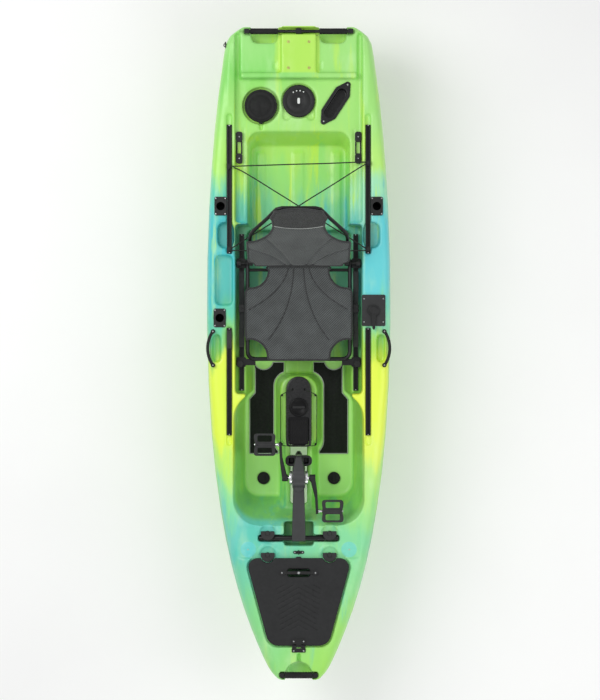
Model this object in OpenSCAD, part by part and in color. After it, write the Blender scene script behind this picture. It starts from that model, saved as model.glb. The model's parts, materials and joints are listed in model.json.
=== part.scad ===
// Sit-on-top pedal-drive fishing kayak.
// Bow towards -Y, stern towards +Y, deck up (+Z). The origin is on the flat of the keel, amidships.
// All lengths are in millimetres.

/* [Hull] */
// Overall length of the hull
hull_len = 3200; // [3190:5:3210]
// Beam at the widest station
hull_beam = 912; // [908:2:916]
// Height of the side deck amidships above the keel
side_deck_z = 335; // [334:0.5:336]
// Wall thickness of the moulded hull
wall = 5; // [4.5:0.5:6]
// Floor of the two footwells
footwell_z = 95; // [92:1:98]
// Floor under the seat
seat_floor_z = 120; // [116:1:124]
// Floor of the tank well
tank_floor_z = 180; // [172:2:190]
// Ledges that carry the seat rails
ledge_z = 235; // [234:0.5:236]
// Sunken deck between the side decks, aft
aft_deck_z = 300; // [299:0.5:301]
// Height of the platform that carries the drive's cross-bar
platform_z = 338; // [337:0.5:339]
// Pitch of the bow deck and of the front hatch, degrees
bow_pitch = 7; // [7:0.5:7.5]

/* [Seat] */
// Width of the seat pan
seat_w = 526; // [520:2:530]
// Tilt of the backrest from upright, degrees
back_tilt = 32; // [28:1:34]
// Length of the backrest above its hinge
back_len = 470; // [440:10:480]
// Diameter of the seat tubes
seat_tube_d = 20; // [18:1:20]

/* [Drive] */
// Crank length, axle to pedal spindle
crank_len = 163; // [155:1:165]
// Height of the crank axle
crank_z = 345; // [343:1:350]
// Radius of the propeller
prop_r = 105; // [90:1:106]
// Depth of the gearcase axis below the keel
gearcase_depth = 150; // [140:2:150]
// Diameter of the cross-bar that the drive tilts on
cross_bar_d = 26; // [24:1:26]

/* [Fittings] */
// Radius of the rod holders' bores
rod_bore_r = 21; // [20:0.5:21.5]
// Width of the gear tracks and seat rails
track_w = 24; // [22:1:24]
// Bolt spacing of the stern plate across the boat
stern_bolts_x = 101; // [96:1:104]
// Bolt spacing of the stern plate along the boat
stern_bolts_y = 128; // [120:1:132]

/* [Hidden] */
$fn = 48;
half_len = hull_len / 2;
half_beam = hull_beam / 2;
run_gap = 0.08;                 // radial clearance of a running fit
soft_gap = 0.5;                 // clearance between pieces that only rest on each other
sides = [-1, 1];

// ---- Lines of the hull, each a row of [place along the boat, value] ----
beam_line = [[-1600, 100], [-1556, 143], [-1399, 218], [-1222, 283], [-1025, 337], [-828, 376],
    [-533, 416], [-238, 438], [57, 450], [351, 450], [745, 437], [1138, 408], [1433, 371],
    [1540, 350], [1580, 308], [1600, 275]];
keel_line = [[-1600, 250], [-1570, 165], [-1500, 85], [-1370, 32], [-1150, 6], [-950, 0],
    [1000, 0], [1250, 10], [1480, 50], [1600, 95]];
sheer_line = [[-1600, 420], [-1480, 407], [-1000, 348], [-860, 338], [-500, 331], [0, 330],
    [900, 330], [1300, 334], [1600, 338]];
edge_line = [[-1600, 34], [-1400, 60], [-1000, 60], [-600, 40], [0, 25], [900, 25], [1400, 30],
    [1600, 30]];                // width of the rounded edge outboard of the deck
fullness_line = [[-1600, 2.1], [-1200, 2.4], [-700, 3], [0, 3.3], [900, 3.3], [1600, 2.8]];
tunnel_line = [[-1600, 0], [-1300, 6], [-900, 20], [900, 22], [1300, 14], [1600, 0]];
stations = [-1600, -1590, -1570, -1540, -1500, -1440, -1360, -1270, -1170, -1060, -930, -780, -600,
    -400, -150, 150, 450, 700, 900, 1080, 1240, 1370, 1460, 1520, 1555, 1578, 1592, 1600];
section_u = [0, 0.2, 0.35, 0.5, 0.65, 0.8, 0.9, 0.96, 0.99, 1];
deck_crown = 5;
gunwale_share = 0.72;           // height of the widest point, as a share of the section's height
keel_flat_trim = 1.5;           // the bottom is cut flat this far up, which makes the keel's flat

function row_at(table, y, i = 0) =
    (i >= len(table) - 2 || y < table[i + 1][0]) ? i : row_at(table, y, i + 1);
function slope_at(table, i) =
    let (a = max(i - 1, 0), b = min(i + 1, len(table) - 1))
    (table[b][1] - table[a][1]) / (table[b][0] - table[a][0]);
function value_at(table, y) =
    let (i = row_at(table, y), span = table[i + 1][0] - table[i][0],
        t = max(0, min(1, (y - table[i][0]) / span)), t2 = t * t, t3 = t2 * t)
    (2 * t3 - 3 * t2 + 1) * table[i][1] + (t3 - 2 * t2 + t) * span * slope_at(table, i)
        + (3 * t2 - 2 * t3) * table[i + 1][1] + (t3 - t2) * span * slope_at(table, i + 1);

// Half of a hull section, from the keel round the bilge and up to the middle of the deck
function half_section(y, inset) =
    let (b = min(450, value_at(beam_line, y)) * half_beam / 450 - inset,
        keel = max(value_at(keel_line, y), 0) + inset,
        sheer = value_at(sheer_line, y) + side_deck_z - 335 - inset,
        edge = value_at(edge_line, y),
        gunwale = keel + gunwale_share * (sheer - keel),
        n = value_at(fullness_line, y), tunnel = value_at(tunnel_line, y))
    concat(
        [for (u = section_u) [u * b, keel + max(0,
            (gunwale - keel) * (1 - pow(1 - pow(u, n), 1 / n))
            + tunnel * exp(-pow((u - 0.5) / 0.16, 2)) - keel_flat_trim)]],
        [[b - 0.06 * edge, gunwale + 0.35 * (sheer - gunwale)],
            [b - 0.28 * edge, gunwale + 0.68 * (sheer - gunwale)],
            [b - 0.62 * edge, gunwale + 0.9 * (sheer - gunwale)],
            [b - edge, sheer], [b - edge - 16, sheer + deck_crown], [0, sheer + deck_crown]]);

function full_section(y, inset) =
    let (half = half_section(y, inset), last = len(half) - 1)
    concat(half, [for (i = [last - 1:-1:1]) [-half[i][0], half[i][1]]]);

// Solid skinned over the stations, drawn in by inset on every side
module hull_body(inset) {
    stretch = (half_len - inset) / 1600;
    ring_n = len(full_section(0, 0));
    last = len(stations) - 1;
    points = [for (y = stations) each [for (p = full_section(y, inset)) [p[0], y * stretch, p[1]]]];
    skin = [for (s = [0:last - 1], i = [0:ring_n - 1])
        let (a = s * ring_n + i, b = s * ring_n + (i + 1) % ring_n)
        each [[a, b, b + ring_n], [a, b + ring_n, a + ring_n]]];
    bow_cap = [[for (i = [ring_n - 1:-1:0]) i]];
    stern_cap = [[for (i = [0:ring_n - 1]) last * ring_n + i]];
    polyhedron(points, concat(skin, bow_cap, stern_cap), convexity = 6);
}

// ---- Small shared shapes ----
$moulded = false;               // true while the faceted hull is drawn
function corner_fn(r) = $moulded ? (r > 50 ? 28 : r > 19 ? 16 : 12) : $fn;
module rounded(w, l, r) {
    square([w - 2 * r, l], center = true);
    square([w, l - 2 * r], center = true);
    for (x = sides, y = sides)
        translate([x * (w / 2 - r), y * (l / 2 - r)]) circle(r, $fn = corner_fn(r));
}

// A plate with round corners, from z0 to z1, spanning x0..x1 and y0..y1
module plate(x0, x1, y0, y1, r, z0, z1) {
    translate([(x0 + x1) / 2, (y0 + y1) / 2, z0])
        linear_extrude(z1 - z0) rounded(x1 - x0, y1 - y0, r);
}

module box(x0, x1, y0, y1, z0, z1) {
    translate([x0, y0, z0]) cube([x1 - x0, y1 - y0, z1 - z0]);
}

// Cylinder along X between two places
module rod_x(x0, x1, y, z, r) {
    translate([min(x0, x1), y, z]) rotate([0, 90, 0]) cylinder(r = r, h = abs(x1 - x0));
}

module rod_y(x, y0, y1, z, r) {
    translate([x, y0, z]) rotate([-90, 0, 0]) cylinder(r = r, h = y1 - y0);
}

// A moulded pocket, open at the top: floor outline x0..x1 by y0..y1, walls that lean out
pocket_top = 470;
module pocket(x0, x1, y0, y1, r, floor_z, lean, grow) {
    out = grow + lean * (pocket_top - floor_z);
    hull() {
        plate(x0 - grow, x1 + grow, y0 - grow, y1 + grow, r + grow, floor_z - grow, floor_z + 1);
        plate(x0 - out, x1 + out, y0 - out, y1 + out, r + out, pocket_top, pocket_top + 1);
    }
}

// Round-sided tube along a route of points; plane is the normal of the plane that it bends in
function unit(v) = v / norm(v);
function heading(route, i) =
    unit(route[min(i + 1, len(route) - 1)] - route[max(i - 1, 0)]);
module cord_tube(route, d, n = 8, plane = [0, 0, 1]) {
    rings = [for (i = [0:len(route) - 1])
        let (t = heading(route, i), side = unit(cross(t, abs(t * plane) > 0.9 ? [0, 1, 0] : plane)),
            up = cross(side, t))
        each [for (k = [0:n - 1]) route[i] + d / 2 * (side * cos(360 * k / n) + up * sin(360 * k / n))]];
    last = len(route) - 1;
    skin = [for (s = [0:last - 1], k = [0:n - 1])
        let (a = s * n + k, b = s * n + (k + 1) % n)
        each [[a, b, b + n], [a, b + n, a + n]]];
    polyhedron(rings, concat(skin, [[for (k = [n - 1:-1:0]) k]],
        [[for (k = [0:n - 1]) last * n + k]]), convexity = 8);
}

// ---- Places on the deck ----
aft_track_y = [481, 1114];
front_track_y = [-412, 115];
track_x = 341;
track_h = 13;
rail_x = 283;
rail_y = [-194, 583];
rail_h = 12;
rod_holder_places = [[-384, 714], [384, 714], [-388, 165]];
rod_tube_wall = 3;
rod_tube_depth = 205;
round_hatch = [-187, 1213];
round_hatch_r = 80.5;
disc_hatch = [0, 1237];
disc_hatch_r = 80;
tray_place = [182, 1225];
tray_turn = 56.8;
steer_plate = [368, 202];
steer_pivot_y = 201;
stern_bolt_y = 1457;
scupper_place = [178, -640];
scupper_r = 27;
drain_z = 190;
latch_x = 152;
drive_latch_y = -892;
hatch_latch_y = -998;
latch_r = 34;
pad_place = [247, -972];
bow_handle_y = -1575;
bow_handle_z = 410;
stern_handle_y = 1576;
stern_handle_z = 320;
rudder_y = 1430;

// ---- Drive places ----
bar_y = -918;
bar_z = 324;
crank_y = -620;
well_half = 42;
spine_z = 202;
well_roof_z = 195;
gearcase_z = -gearcase_depth;
prop_y = -552;

// ---- Front hatch, drawn in the plane of the bow deck ----
hatch_y = -1012;
hatch_z = 355;
lid_t = 14;
hatch_pivot = [-425, 5];        // hinge axis of the lid, in that plane: along the boat, above it
module on_bow_deck() {
    translate([0, hatch_y, hatch_z]) rotate([-bow_pitch, 0, 0]) children();
}

// Outline of the lid, larger by grow
module lid_outline(grow) {
    hull() {
        for (s = sides) {
            translate([s * 201, -46]) circle(46 + grow, $fn = 32);
            translate([s * 98, -362]) circle(62 + grow, $fn = 32);
        }
    }
}

// ================================ Hull ================================

// Everything sunk into the deck, enlarged by grow (0 for the outside, the wall for the inside)
module deck_pockets(grow) {
    // sunken aft deck and its two gutters to the stern
    pocket(-310, 310, 636, 1340, 12, aft_deck_z, 0.12, grow);
    for (s = sides)
        pocket(s < 0 ? -310 : 289, s < 0 ? -289 : 310, 1300, 1566, 8, aft_deck_z, 0.12, grow);
    for (s = sides)
        hull() {
            plate(s * 188 - 101 - grow, s * 188 + 101 + grow, 1372 - grow, 1640, 5, 316 - grow, 317);
            plate(s * 188 - 105 - grow, s * 188 + 105 + grow, 1352 - grow, 1640, 5, 480, 481);
        }
    // tank well
    hull() {
        plate(-238 - grow, 238 + grow, 590, 1030 + grow, 40, tank_floor_z - grow, tank_floor_z + 1);
        plate(-254 - grow, 254 + grow, 590, 1092 + grow, 60, 310, 480);
    }
    // ledges for the seat rails, and the seat well between them
    pocket(-308, 308, -204, 622, 14, ledge_z, 0.06, grow);
    pocket(-262, 262, -40, 606, 34, seat_floor_z, 0, grow);
    // recesses in the side decks
    pocket(-409, -326, 230, 472, 22, 296, 0.08, grow);
    for (s = sides) {
        pocket(s < 0 ? -396 : 320, s < 0 ? -320 : 396, 510, 634, 32, 298, 0.08, grow);
        pocket(s < 0 ? -424 : 386, s < 0 ? -386 : 424, -52, 84, 18, 300, 0.05, grow);
        box(s * track_x - 14 - grow, s * track_x + 14 + grow, aft_track_y[0] - 4 - grow,
            1168 + grow, side_deck_z - track_h - grow, 480);
        box(s * track_x - 14 - grow, s * track_x + 14 + grow, -462 - grow,
            front_track_y[1] + 6 + grow, side_deck_z - track_h - grow, 480);
    }
    // round hatch, disc hatch with its two finger recesses, and the tray
    translate([round_hatch[0], round_hatch[1], 278 - grow]) cylinder(r = 92 + grow, h = 200);
    translate([round_hatch[0], round_hatch[1], 170 - grow]) cylinder(r = 61 + grow, h = 200);
    box(round_hatch[0] - 8 - grow, round_hatch[0] + 8 + grow, 1090 - grow, 1140, 285 - grow, 480);
    translate([disc_hatch[0], disc_hatch[1], 284 - grow]) cylinder(r = 87 + grow, h = 200);
    for (s = sides)
        pocket(s * 60 - 18, s * 60 + 18, 1142, 1220, 14, 286, 0.05, grow);
    translate([tray_place[0], tray_place[1], 256 - grow]) rotate(tray_turn)
        linear_extrude(200) rounded(172 + 2 * grow, 62 + 2 * grow, 30);
    for (p = rod_holder_places)
        translate([p[0], p[1], side_deck_z - rod_tube_depth - grow - 2])
            cylinder(r = rod_bore_r + rod_tube_wall + 1 + grow, h = 400, $fn = 24);
    // front platform, its cross-bar channel, latch seats and round pads
    pocket(-300, 300, -1010, -858, 10, platform_z, 0.3, grow);
    box(-200 - grow, 200 + grow, bar_y - 17 - grow, bar_y + 17 + grow, 306 - grow, 480);
    for (s = sides, y = [drive_latch_y, hatch_latch_y])
        translate([s * latch_x, y, platform_z - 4 - grow]) cylinder(r = latch_r + 5 + grow, h = 100);
    // front hatch: seat of the lid and the tub below it
    on_bow_deck() {
        translate([0, 0, -19 - grow]) linear_extrude(200) lid_outline(8 + grow);
        translate([0, 0, -190 - grow]) linear_extrude(200) lid_outline(grow - 34);
    }
    // blind holes that the threaded inserts are pressed into
    for (x = sides, y = sides)
        translate([x * stern_bolts_x / 2, stern_bolt_y + y * stern_bolts_y / 2,
            stern_insert_z - insert_h - grow]) cylinder(r = insert_r + 0.4 + grow, h = 150, $fn = 12);
    for (s = sides)
        translate([s * pad_place[0], pad_place[1], platform_z + 1.2 - insert_h - grow])
            cylinder(r = insert_r + 0.4 + grow, h = 150, $fn = 12);
    // grip scoops and bar slots at bow and stern
    hull() {
        translate([0, -1575, 350 - grow]) cylinder(r = 58 + grow, h = 1, $fn = 32);
        translate([0, -1575, 480]) cylinder(r = 74 + grow, h = 1, $fn = 32);
        box(-58 - grow, 58 + grow, -1700, -1650, 350 - grow, 351);
        box(-74 - grow, 74 + grow, -1700, -1650, 480, 481);
    }
    box(-95 - grow, 95 + grow, bow_handle_y - 17 - grow, bow_handle_y + 17 + grow,
        bow_handle_z - 17 - grow, 480);
    box(-7 - grow, 7 + grow, -1530, -1468 + grow, 388 - grow, 480);
    for (s = sides)
        hull() {
            plate(s * 169 - 60 - grow, s * 169 + 60 + grow, 1526 - grow, 1720, 26, 250 - grow, 251);
            plate(s * 169 - 82 - grow, s * 169 + 82 + grow, 1498 - grow, 1720, 44, 480, 481);
        }
    box(-272 - grow, 272 + grow, stern_handle_y - 16.5 - grow, stern_handle_y + 16.5 + grow,
        stern_handle_z - 16.5 - grow, 480);
}

// Footwells, with walls that slope up to the side decks and to the platform
module footwells(grow) {
    hull() {
        plate(-270 - grow, 270 + grow, -722 - grow, -190 + grow, 70, footwell_z - grow, footwell_z + 1);
        plate(-306 - grow, 306 + grow, -804 - grow, -200 + grow, 110, ledge_z - 2, ledge_z);
        plate(-322 - grow, 322 + grow, -854 - grow, -205 + grow, 130, 336, 480);
    }
    hull() {
        plate(-226 - grow, 226 + grow, -320, -40 + grow, 30, footwell_z - grow, footwell_z + 1);
        plate(-262 - grow, 262 + grow, -320, -40 + grow, 30, ledge_z, pocket_top);
    }
}

// The spine between the footwells, which carries the console and is slotted for the drive
module spine(grow) {
    hull() {
        plate(-98 - grow, 98 + grow, -1000, -430, 20, 60, footwell_z + 1);
        plate(-66 - grow, 66 + grow, -1000, -430, 10, spine_z - 20, spine_z + grow);
    }
    hull() {
        plate(-119 - grow, 119 + grow, -500, -105 + grow, 70, 60, footwell_z + 1);
        plate(-90 - grow, 90 + grow, -480, -122 + grow, 70, spine_z - 20, spine_z + grow);
    }
    box(-68 - grow, 68 + grow, -200, -10, 60, footwell_z + 22 + grow);
}

// Well in the bottom that the leg passes through and swings up into
module drive_well(grow) {
    rotate([90, 0, 90]) translate([0, 0, -well_half - grow])
        linear_extrude(2 * (well_half + grow)) offset(delta = grow)
            polygon([[-800, -40], [-800, 60], [-762, 150], [-762, 480], [-447, 480],
                [-447, well_roof_z], [-385, well_roof_z], [-330, 150], [-285, 60], [-285, -40]]);
    hull() {
        plate(-72 - grow, 72 + grow, -955 - grow, -846 + grow, 8, 236 - grow, 237);
        plate(-72 - grow, 72 + grow, -955 - grow, -820 + grow, 8, 480, 481);
    }
    for (s = sides)
        translate([s * scupper_place[0], scupper_place[1], -20])
            cylinder(r = scupper_r + grow, h = 160, $fn = 24);
}

// Flat under the stern that the rudder swings below
module rudder_shelf(grow) {
    hull() {
        box(-150 - grow, 150 + grow, 1392 - grow, 1700, -20, 120 + grow);
        box(-150 - grow, 150 + grow, 1340 - grow, 1700, -20, -10);
    }
}

module cavities(grow) {
    deck_pockets(grow);
    difference() {
        footwells(grow);
        spine(-grow);
    }
    drive_well(grow);
    rudder_shelf(grow);
}

module hull_shell() {
    $moulded = true;
    $fn = 24;
    color("mediumaquamarine") {
        difference() {
            hull_body(0);
            cavities(0);
            difference() {
                hull_body(wall);
                cavities(wall);
            }
            // hole for the drain plug, in the transom
            rod_y(0, half_len - 30, half_len + 10, drain_z, 9.5);
            // holes for the steering lever's shaft and for the rudder's post
            translate([steer_plate[0], steer_pivot_y, side_deck_z]) cylinder(r = 12, h = 40, center = true);
            translate([0, rudder_y, 105]) cylinder(r = 8, h = 30);
        }
    }
}

// ============================ Deck fittings ============================

module t_slot_bar(x, y0, y1, z, h) {
    difference() {
        box(x - track_w / 2, x + track_w / 2, y0, y1, z, z + h);
        box(x - 4.5, x + 4.5, y0 + 8, y1 - 8, z + h - 3.2, z + h + 1);
        box(x - 8.5, x + 8.5, y0 + 8, y1 - 8, z + 3, z + h - 3);
        for (y = [y0 + 4, y1 - 4])
            translate([x, y, z - 1]) cylinder(r = 2.2, h = h + 2);
    }
}

module gear_tracks() {
    color("#242526") for (s = sides, span = [aft_track_y, front_track_y])
        t_slot_bar(s * track_x, span[0], span[1], side_deck_z - track_h + soft_gap, track_h);
}

module seat_rails() {
    color("#1d1e1f") for (s = sides)
        t_slot_bar(s * rail_x, rail_y[0], rail_y[1], ledge_z + soft_gap, rail_h);
}

// Round-headed screw, its head resting at z
module screw(x, y, z, head_r = 4.2, shank = 4) {
    translate([x, y, z - shank]) cylinder(r = 2, h = shank + 0.5);
    translate([x, y, z]) cylinder(r1 = head_r, r2 = head_r * 0.62, h = 2.2);
}

rod_plate_t = 4;
rod_screw = [23, 38];
module rod_holder(place) {
    translate([place[0], place[1], side_deck_z + soft_gap]) {
        difference() {
            union() {
                linear_extrude(rod_plate_t) rounded(60, 92, 9);
                translate([0, 0, -rod_tube_depth])
                    cylinder(r = rod_bore_r + rod_tube_wall, h = rod_tube_depth + 1);
            }
            translate([0, 0, -rod_tube_depth + 4]) cylinder(r = rod_bore_r, h = 400);
            for (x = sides, y = sides)
                translate([x * rod_screw[0], y * rod_screw[1], -1]) cylinder(r = 2.4, h = 10);
        }
    }
}

module rod_holders() { color("#2b2c2d") for (p = rod_holder_places) rod_holder(p); }

steer_plate_t = 5;
steer_screw = [47, 57];
module steering_plate() {
    color("#333536") translate([steer_plate[0], steer_plate[1], side_deck_z + soft_gap])
        difference() {
            linear_extrude(steer_plate_t) rounded(116, 154, 7);
            translate([0, steer_pivot_y - steer_plate[1], -1]) cylinder(r = 8 + run_gap, h = 10);
            for (x = sides, y = sides)
                translate([x * steer_screw[0], y * steer_screw[1], -1]) cylinder(r = 2.4, h = 10);
        }
}

module steering_lever() {
    lever_z = side_deck_z + soft_gap + steer_plate_t + 0.5;
    color("#2a2b2c") translate([steer_plate[0], steer_pivot_y, lever_z]) {
        cylinder(r = 28, h = 12);
        translate([0, 0, 12]) cylinder(r1 = 24, r2 = 17, h = 6);
        translate([0, 0, -22]) cylinder(r = 8, h = 24);
        hull() {
            translate([0, -16, 4]) cylinder(r = 12, h = 9, $fn = 24);
            translate([0, -86, 6]) cylinder(r = 7, h = 6, $fn = 24);
        }
        translate([0, -88, 11]) cylinder(r = 6, h = 14);
    }
}

handle_arc_r = 149;
module side_handles() {
    color("#232425") for (s = sides)
        translate([s * (455 - 8 - handle_arc_r), 16, side_deck_z + 1]) {
            difference() {
                union() {
                    rotate(s > 0 ? -34 : 146) rotate_extrude(angle = 68)
                        translate([handle_arc_r, 6]) rounded(15, 12, 4);
                    for (e = sides)
                        rotate(s > 0 ? e * 34 : 180 + e * 34) translate([handle_arc_r - 1, 0, 0])
                            cylinder(r = 11, h = 13);
                }
                for (e = sides)
                    rotate(s > 0 ? e * 34 : 180 + e * 34) translate([handle_arc_r - 1, 0, -1])
                        cylinder(r = 2.4, h = 20);
            }
        }
}

clip_y = [926, 1083];
module paddle_clips() {
    color("#262728") for (s = sides) {
        for (y = [clip_y[0] + 25, clip_y[1] - 25])
            difference() {
                plate(s * 293 - 16, s * 293 + 16, y - 25, y + 25, 12, aft_deck_z + soft_gap, aft_deck_z + 16);
                translate([s * 293, y, aft_deck_z]) cylinder(r = 2.4, h = 40);
            }
        for (x = sides)
            rod_y(s * 293 + x * 12, clip_y[0] + 48, clip_y[1] - 48, aft_deck_z + 9, 3.5);
    }
}

module round_hatch_rim() {
    color("#2c2d2e") translate([round_hatch[0], round_hatch[1], 278 + soft_gap]) difference() {
        union() {
            cylinder(r = 80, h = 5);
            cylinder(r = 70, h = 16);
        }
        translate([0, 0, -1]) cylinder(r = 60, h = 30);
    }
}

module round_hatch_lid() {
    color("#343536") translate([round_hatch[0], round_hatch[1], 0]) {
        difference() {
            translate([0, 0, 286]) cylinder(r = round_hatch_r, h = 15);
            translate([0, 0, 280]) cylinder(r = 72, h = 15.5);
        }
        translate([0, 0, 301]) cylinder(r = 70, h = 2);
        plate(-9, 9, -93 + 4, -78, 4, 290, 298);
    }
}

module disc_hatch_lid() {
    color("#2f3031") translate([disc_hatch[0], disc_hatch[1], 284 + soft_gap]) {
        cylinder(r = disc_hatch_r, h = 13);
        translate([0, 0, 13]) cylinder(r1 = disc_hatch_r, r2 = disc_hatch_r - 3, h = 3);
        translate([0, 0, 16]) linear_extrude(2) rounded(18, 28, 8);
    }
}

module accessory_tray() {
    color("#202122") translate([tray_place[0], tray_place[1], 0]) rotate(tray_turn)
        difference() {
            union() {
                translate([0, 0, aft_deck_z + soft_gap]) linear_extrude(6) hull() {
                    rounded(150, 82, 12, $fn = 32);
                    for (s = sides) translate([s * 110, 0]) circle(14, $fn = 32);
                }
                translate([0, 0, 258]) linear_extrude(aft_deck_z - 256) rounded(168, 58, 28);
            }
            translate([0, 0, 262]) linear_extrude(60) rounded(160, 50, 24);
            for (s = sides) translate([s * 108, 0, 290]) cylinder(r = 2.6, h = 30);
        }
}

// Threaded brass inserts in the stern plate, and those of the two round pads on the platform
insert_r = 6;
insert_bore_r = 3.2;
insert_h = 24;
stern_insert_z = 343.2;
module one_insert(z) {
    translate([0, 0, z - insert_h]) difference() {
        cylinder(r = insert_r, h = insert_h);
        translate([0, 0, 4]) cylinder(r = insert_bore_r, h = insert_h);
    }
}
module threaded_inserts() {
    color("#c9a063") {
        for (x = sides, y = sides)
            translate([x * stern_bolts_x / 2, stern_bolt_y + y * stern_bolts_y / 2, 0])
                one_insert(stern_insert_z);
        for (s = sides)
            translate([s * pad_place[0], pad_place[1], 0]) one_insert(platform_z + 1.2);
    }
}

// Bars and grips of the carrying handles
module handle_bars() {
    color("#1f2021") {
        rod_x(-92, 92, bow_handle_y, bow_handle_z, 8);
        rod_x(-268, 268, stern_handle_y, stern_handle_z, 8);
        for (s = sides) {
            box(s * 80 - 10, s * 80 + 10, bow_handle_y - 12, bow_handle_y + 12,
                bow_handle_z - 12, bow_handle_z + 12);
            box(s * 256 - 12, s * 256 + 12, stern_handle_y - 11, stern_handle_y + 11,
                stern_handle_z - 11, stern_handle_z + 11);
        }
        box(-14, 14, stern_handle_y - 12, stern_handle_y + 12, stern_handle_z - 12, stern_handle_z + 12);
    }
}

module grip(x0, x1, y, z, r) {
    ribs = floor((x1 - x0) / 8);
    difference() {
        union() {
            rod_x(x0, x1, y, z, r - 1.2);
            for (i = [0:ribs - 1])
                rod_x(x0 + 2 + i * 8, x0 + 6.5 + i * 8, y, z, r);
        }
        rod_x(x0 - 1, x1 + 1, y, z, 8);
    }
}

module handle_grips() {
    color("#333435") {
        grip(-68, 68, bow_handle_y, bow_handle_z, 16);
        for (s = sides)
            grip(s < 0 ? -238 : 102, s < 0 ? -102 : 238, stern_handle_y, stern_handle_z, 15);
    }
}

// Moulded foot pads
pad_t = 6;
module foot_pads() {
    color("#2b2c2d") for (s = sides) mirror([s < 0 ? 1 : 0, 0, 0])
        translate([0, 0, footwell_z + soft_gap]) linear_extrude(pad_t) difference() {
            polygon([[102, -518], [250, -518], [250, -240], [222, -208], [222, -52], [72, -52],
                [72, -200], [102, -200]]);
            translate([177, -44]) circle(46);
            translate([0, -312]) rounded(248, 424, 75);
        }
}

// ============================ Console ============================

console_h = 50;
console_z = spine_z + soft_gap;
module console_base() {
    color("#262728") difference() {
        union() {
            difference() {
                hull() {
                    plate(-66, 66, -445, -190, 20, console_z, console_z + 1);
                    translate([0, -190, console_z]) cylinder(r = 66, h = 1, $fn = 32);
                    plate(-62, 62, -473, -190, 14, console_z + console_h - 1, console_z + console_h);
                    translate([0, -182, console_z + console_h - 3]) cylinder(r = 58, h = 2, $fn = 32);
                }
                box(-49, 49, -465, -330, console_z + 4, 400);
            }
        }
        translate([0, -277, console_z + 5]) cylinder(r = 40, h = 100);
        // cord passages in the nose
        for (s = sides) translate([s * 30, -189, console_z + 20]) cylinder(r = 4, h = 100);
    }
}

module console_lid() {
    color("#3a3b3c") {
        plate(-48, 48, -463, -325, 9, console_z + console_h + 0.5, console_z + console_h + 5);
        plate(-45, 45, -460, -333, 8, console_z + console_h - 5, console_z + console_h + 1);
        rod_x(-30, 30, -463, console_z + console_h + 2.5, 2.2);
    }
}

module console_cap() {
    color("#313233") translate([0, -277, 0]) {
        translate([0, 0, console_z + console_h - 8]) cylinder(r = 39, h = 9);
        difference() {
            translate([0, 0, console_z + console_h + 0.5]) cylinder(r = 47, h = 6);
            translate([0, 0, console_z + console_h + 4]) cylinder(r = 36, h = 6);
        }
    }
}

// ============================ Cords ============================
cleat_z = 349;
tank_cord_d = 6;
tank_cord_route = [[-326, 908, 349], [-250, 911, 348], [-125, 915, 347], [0, 919, 347], [125, 922, 347],
    [250, 927, 348], [326, 929, 349], [336, 926, 350], [326, 918, 351], [280, 890, 350], [200, 839, 349],
    [120, 789, 348], [60, 752, 348], [0, 714, 348], [-60, 676, 347], [-120, 638, 347], [-200, 588, 347],
    [-280, 538, 348], [-326, 508, 349], [-336, 501, 350], [-326, 496, 349], [-280, 495, 342],
    [-200, 495, 340], [-100, 495, 339], [0, 495, 339], [100, 495, 339], [200, 495, 340], [280, 495, 342],
    [326, 496, 349], [336, 501, 348], [326, 508, 346], [280, 538, 344], [200, 588, 342], [120, 638, 340],
    [60, 676, 339], [0, 714, 338], [-60, 752, 338], [-120, 789, 339], [-200, 839, 341], [-280, 886, 344],
    [-320, 903, 346]];
console_cord_d = 4;
console_cord_route = [[-30, -189, 240], [-30, -189, 252], [-33, -190, 262], [-44, -195, 262],
    [-62, -203, 244], [-76, -210, 226], [-86, -216, 218], [-90, -224, 214], [-90, -260, 212],
    [-90, -320, 211], [-90, -380, 211], [-90, -440, 211], [-89, -458, 213], [-84, -467, 219],
    [-70, -469, 240], [-56, -468, 260], [-40, -467, 264], [0, -467, 264], [40, -467, 264],
    [56, -468, 260], [70, -469, 240], [84, -467, 219], [89, -458, 213], [90, -440, 211],
    [90, -380, 211], [90, -320, 211], [90, -260, 212], [90, -224, 214], [86, -216, 218],
    [76, -210, 226], [62, -203, 244], [44, -195, 262], [33, -190, 262], [30, -189, 252],
    [30, -189, 240]];
steer_cable_d = 7;
steer_cable_route = [[366, 201, 292], [366, 205, 280], [362, 218, 264], [354, 240, 250], [345, 275, 238],
    [338, 330, 230], [336, 420, 227], [336, 520, 226], [336, 640, 226], [336, 760, 226],
    [336, 880, 226], [335, 990, 226], [328, 1080, 224], [310, 1160, 218], [280, 1230, 210],
    [236, 1290, 200], [180, 1340, 188], [124, 1378, 174], [80, 1404, 160], [52, 1420, 148],
    [38, 1428, 140]];

module bungee_cords() {
    color("#202a20") {
        cord_tube(tank_cord_route, tank_cord_d);
        cord_tube(console_cord_route, console_cord_d);
    }
}
module steering_cable() { color("#4a4b4c") cord_tube(steer_cable_route, steer_cable_d); }

// ============================ Platform fittings ============================

// A latch: a half-moon that swings over what it holds, on a post
module latch(x, y) {
    translate([x, y, platform_z + 2]) {
        difference() {
            union() {
                linear_extrude(10) intersection() {
                    circle(latch_r);
                    translate([0, -30]) square([80, 80], center = true);
                }
                translate([0, 0, 9]) cylinder(r1 = 13, r2 = 10, h = 7);
            }
            translate([0, 0, -1]) cylinder(r = 5 + run_gap, h = 30);
        }
    }
}

module drive_latch_left() { color("#3a3b3c") latch(-latch_x, drive_latch_y); }
module drive_latch_right() { color("#3a3b3c") latch(latch_x, drive_latch_y); }
module hatch_latch_left() { color("#3a3b3c") latch(-latch_x, hatch_latch_y); }
module hatch_latch_right() { color("#3a3b3c") latch(latch_x, hatch_latch_y); }

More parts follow.
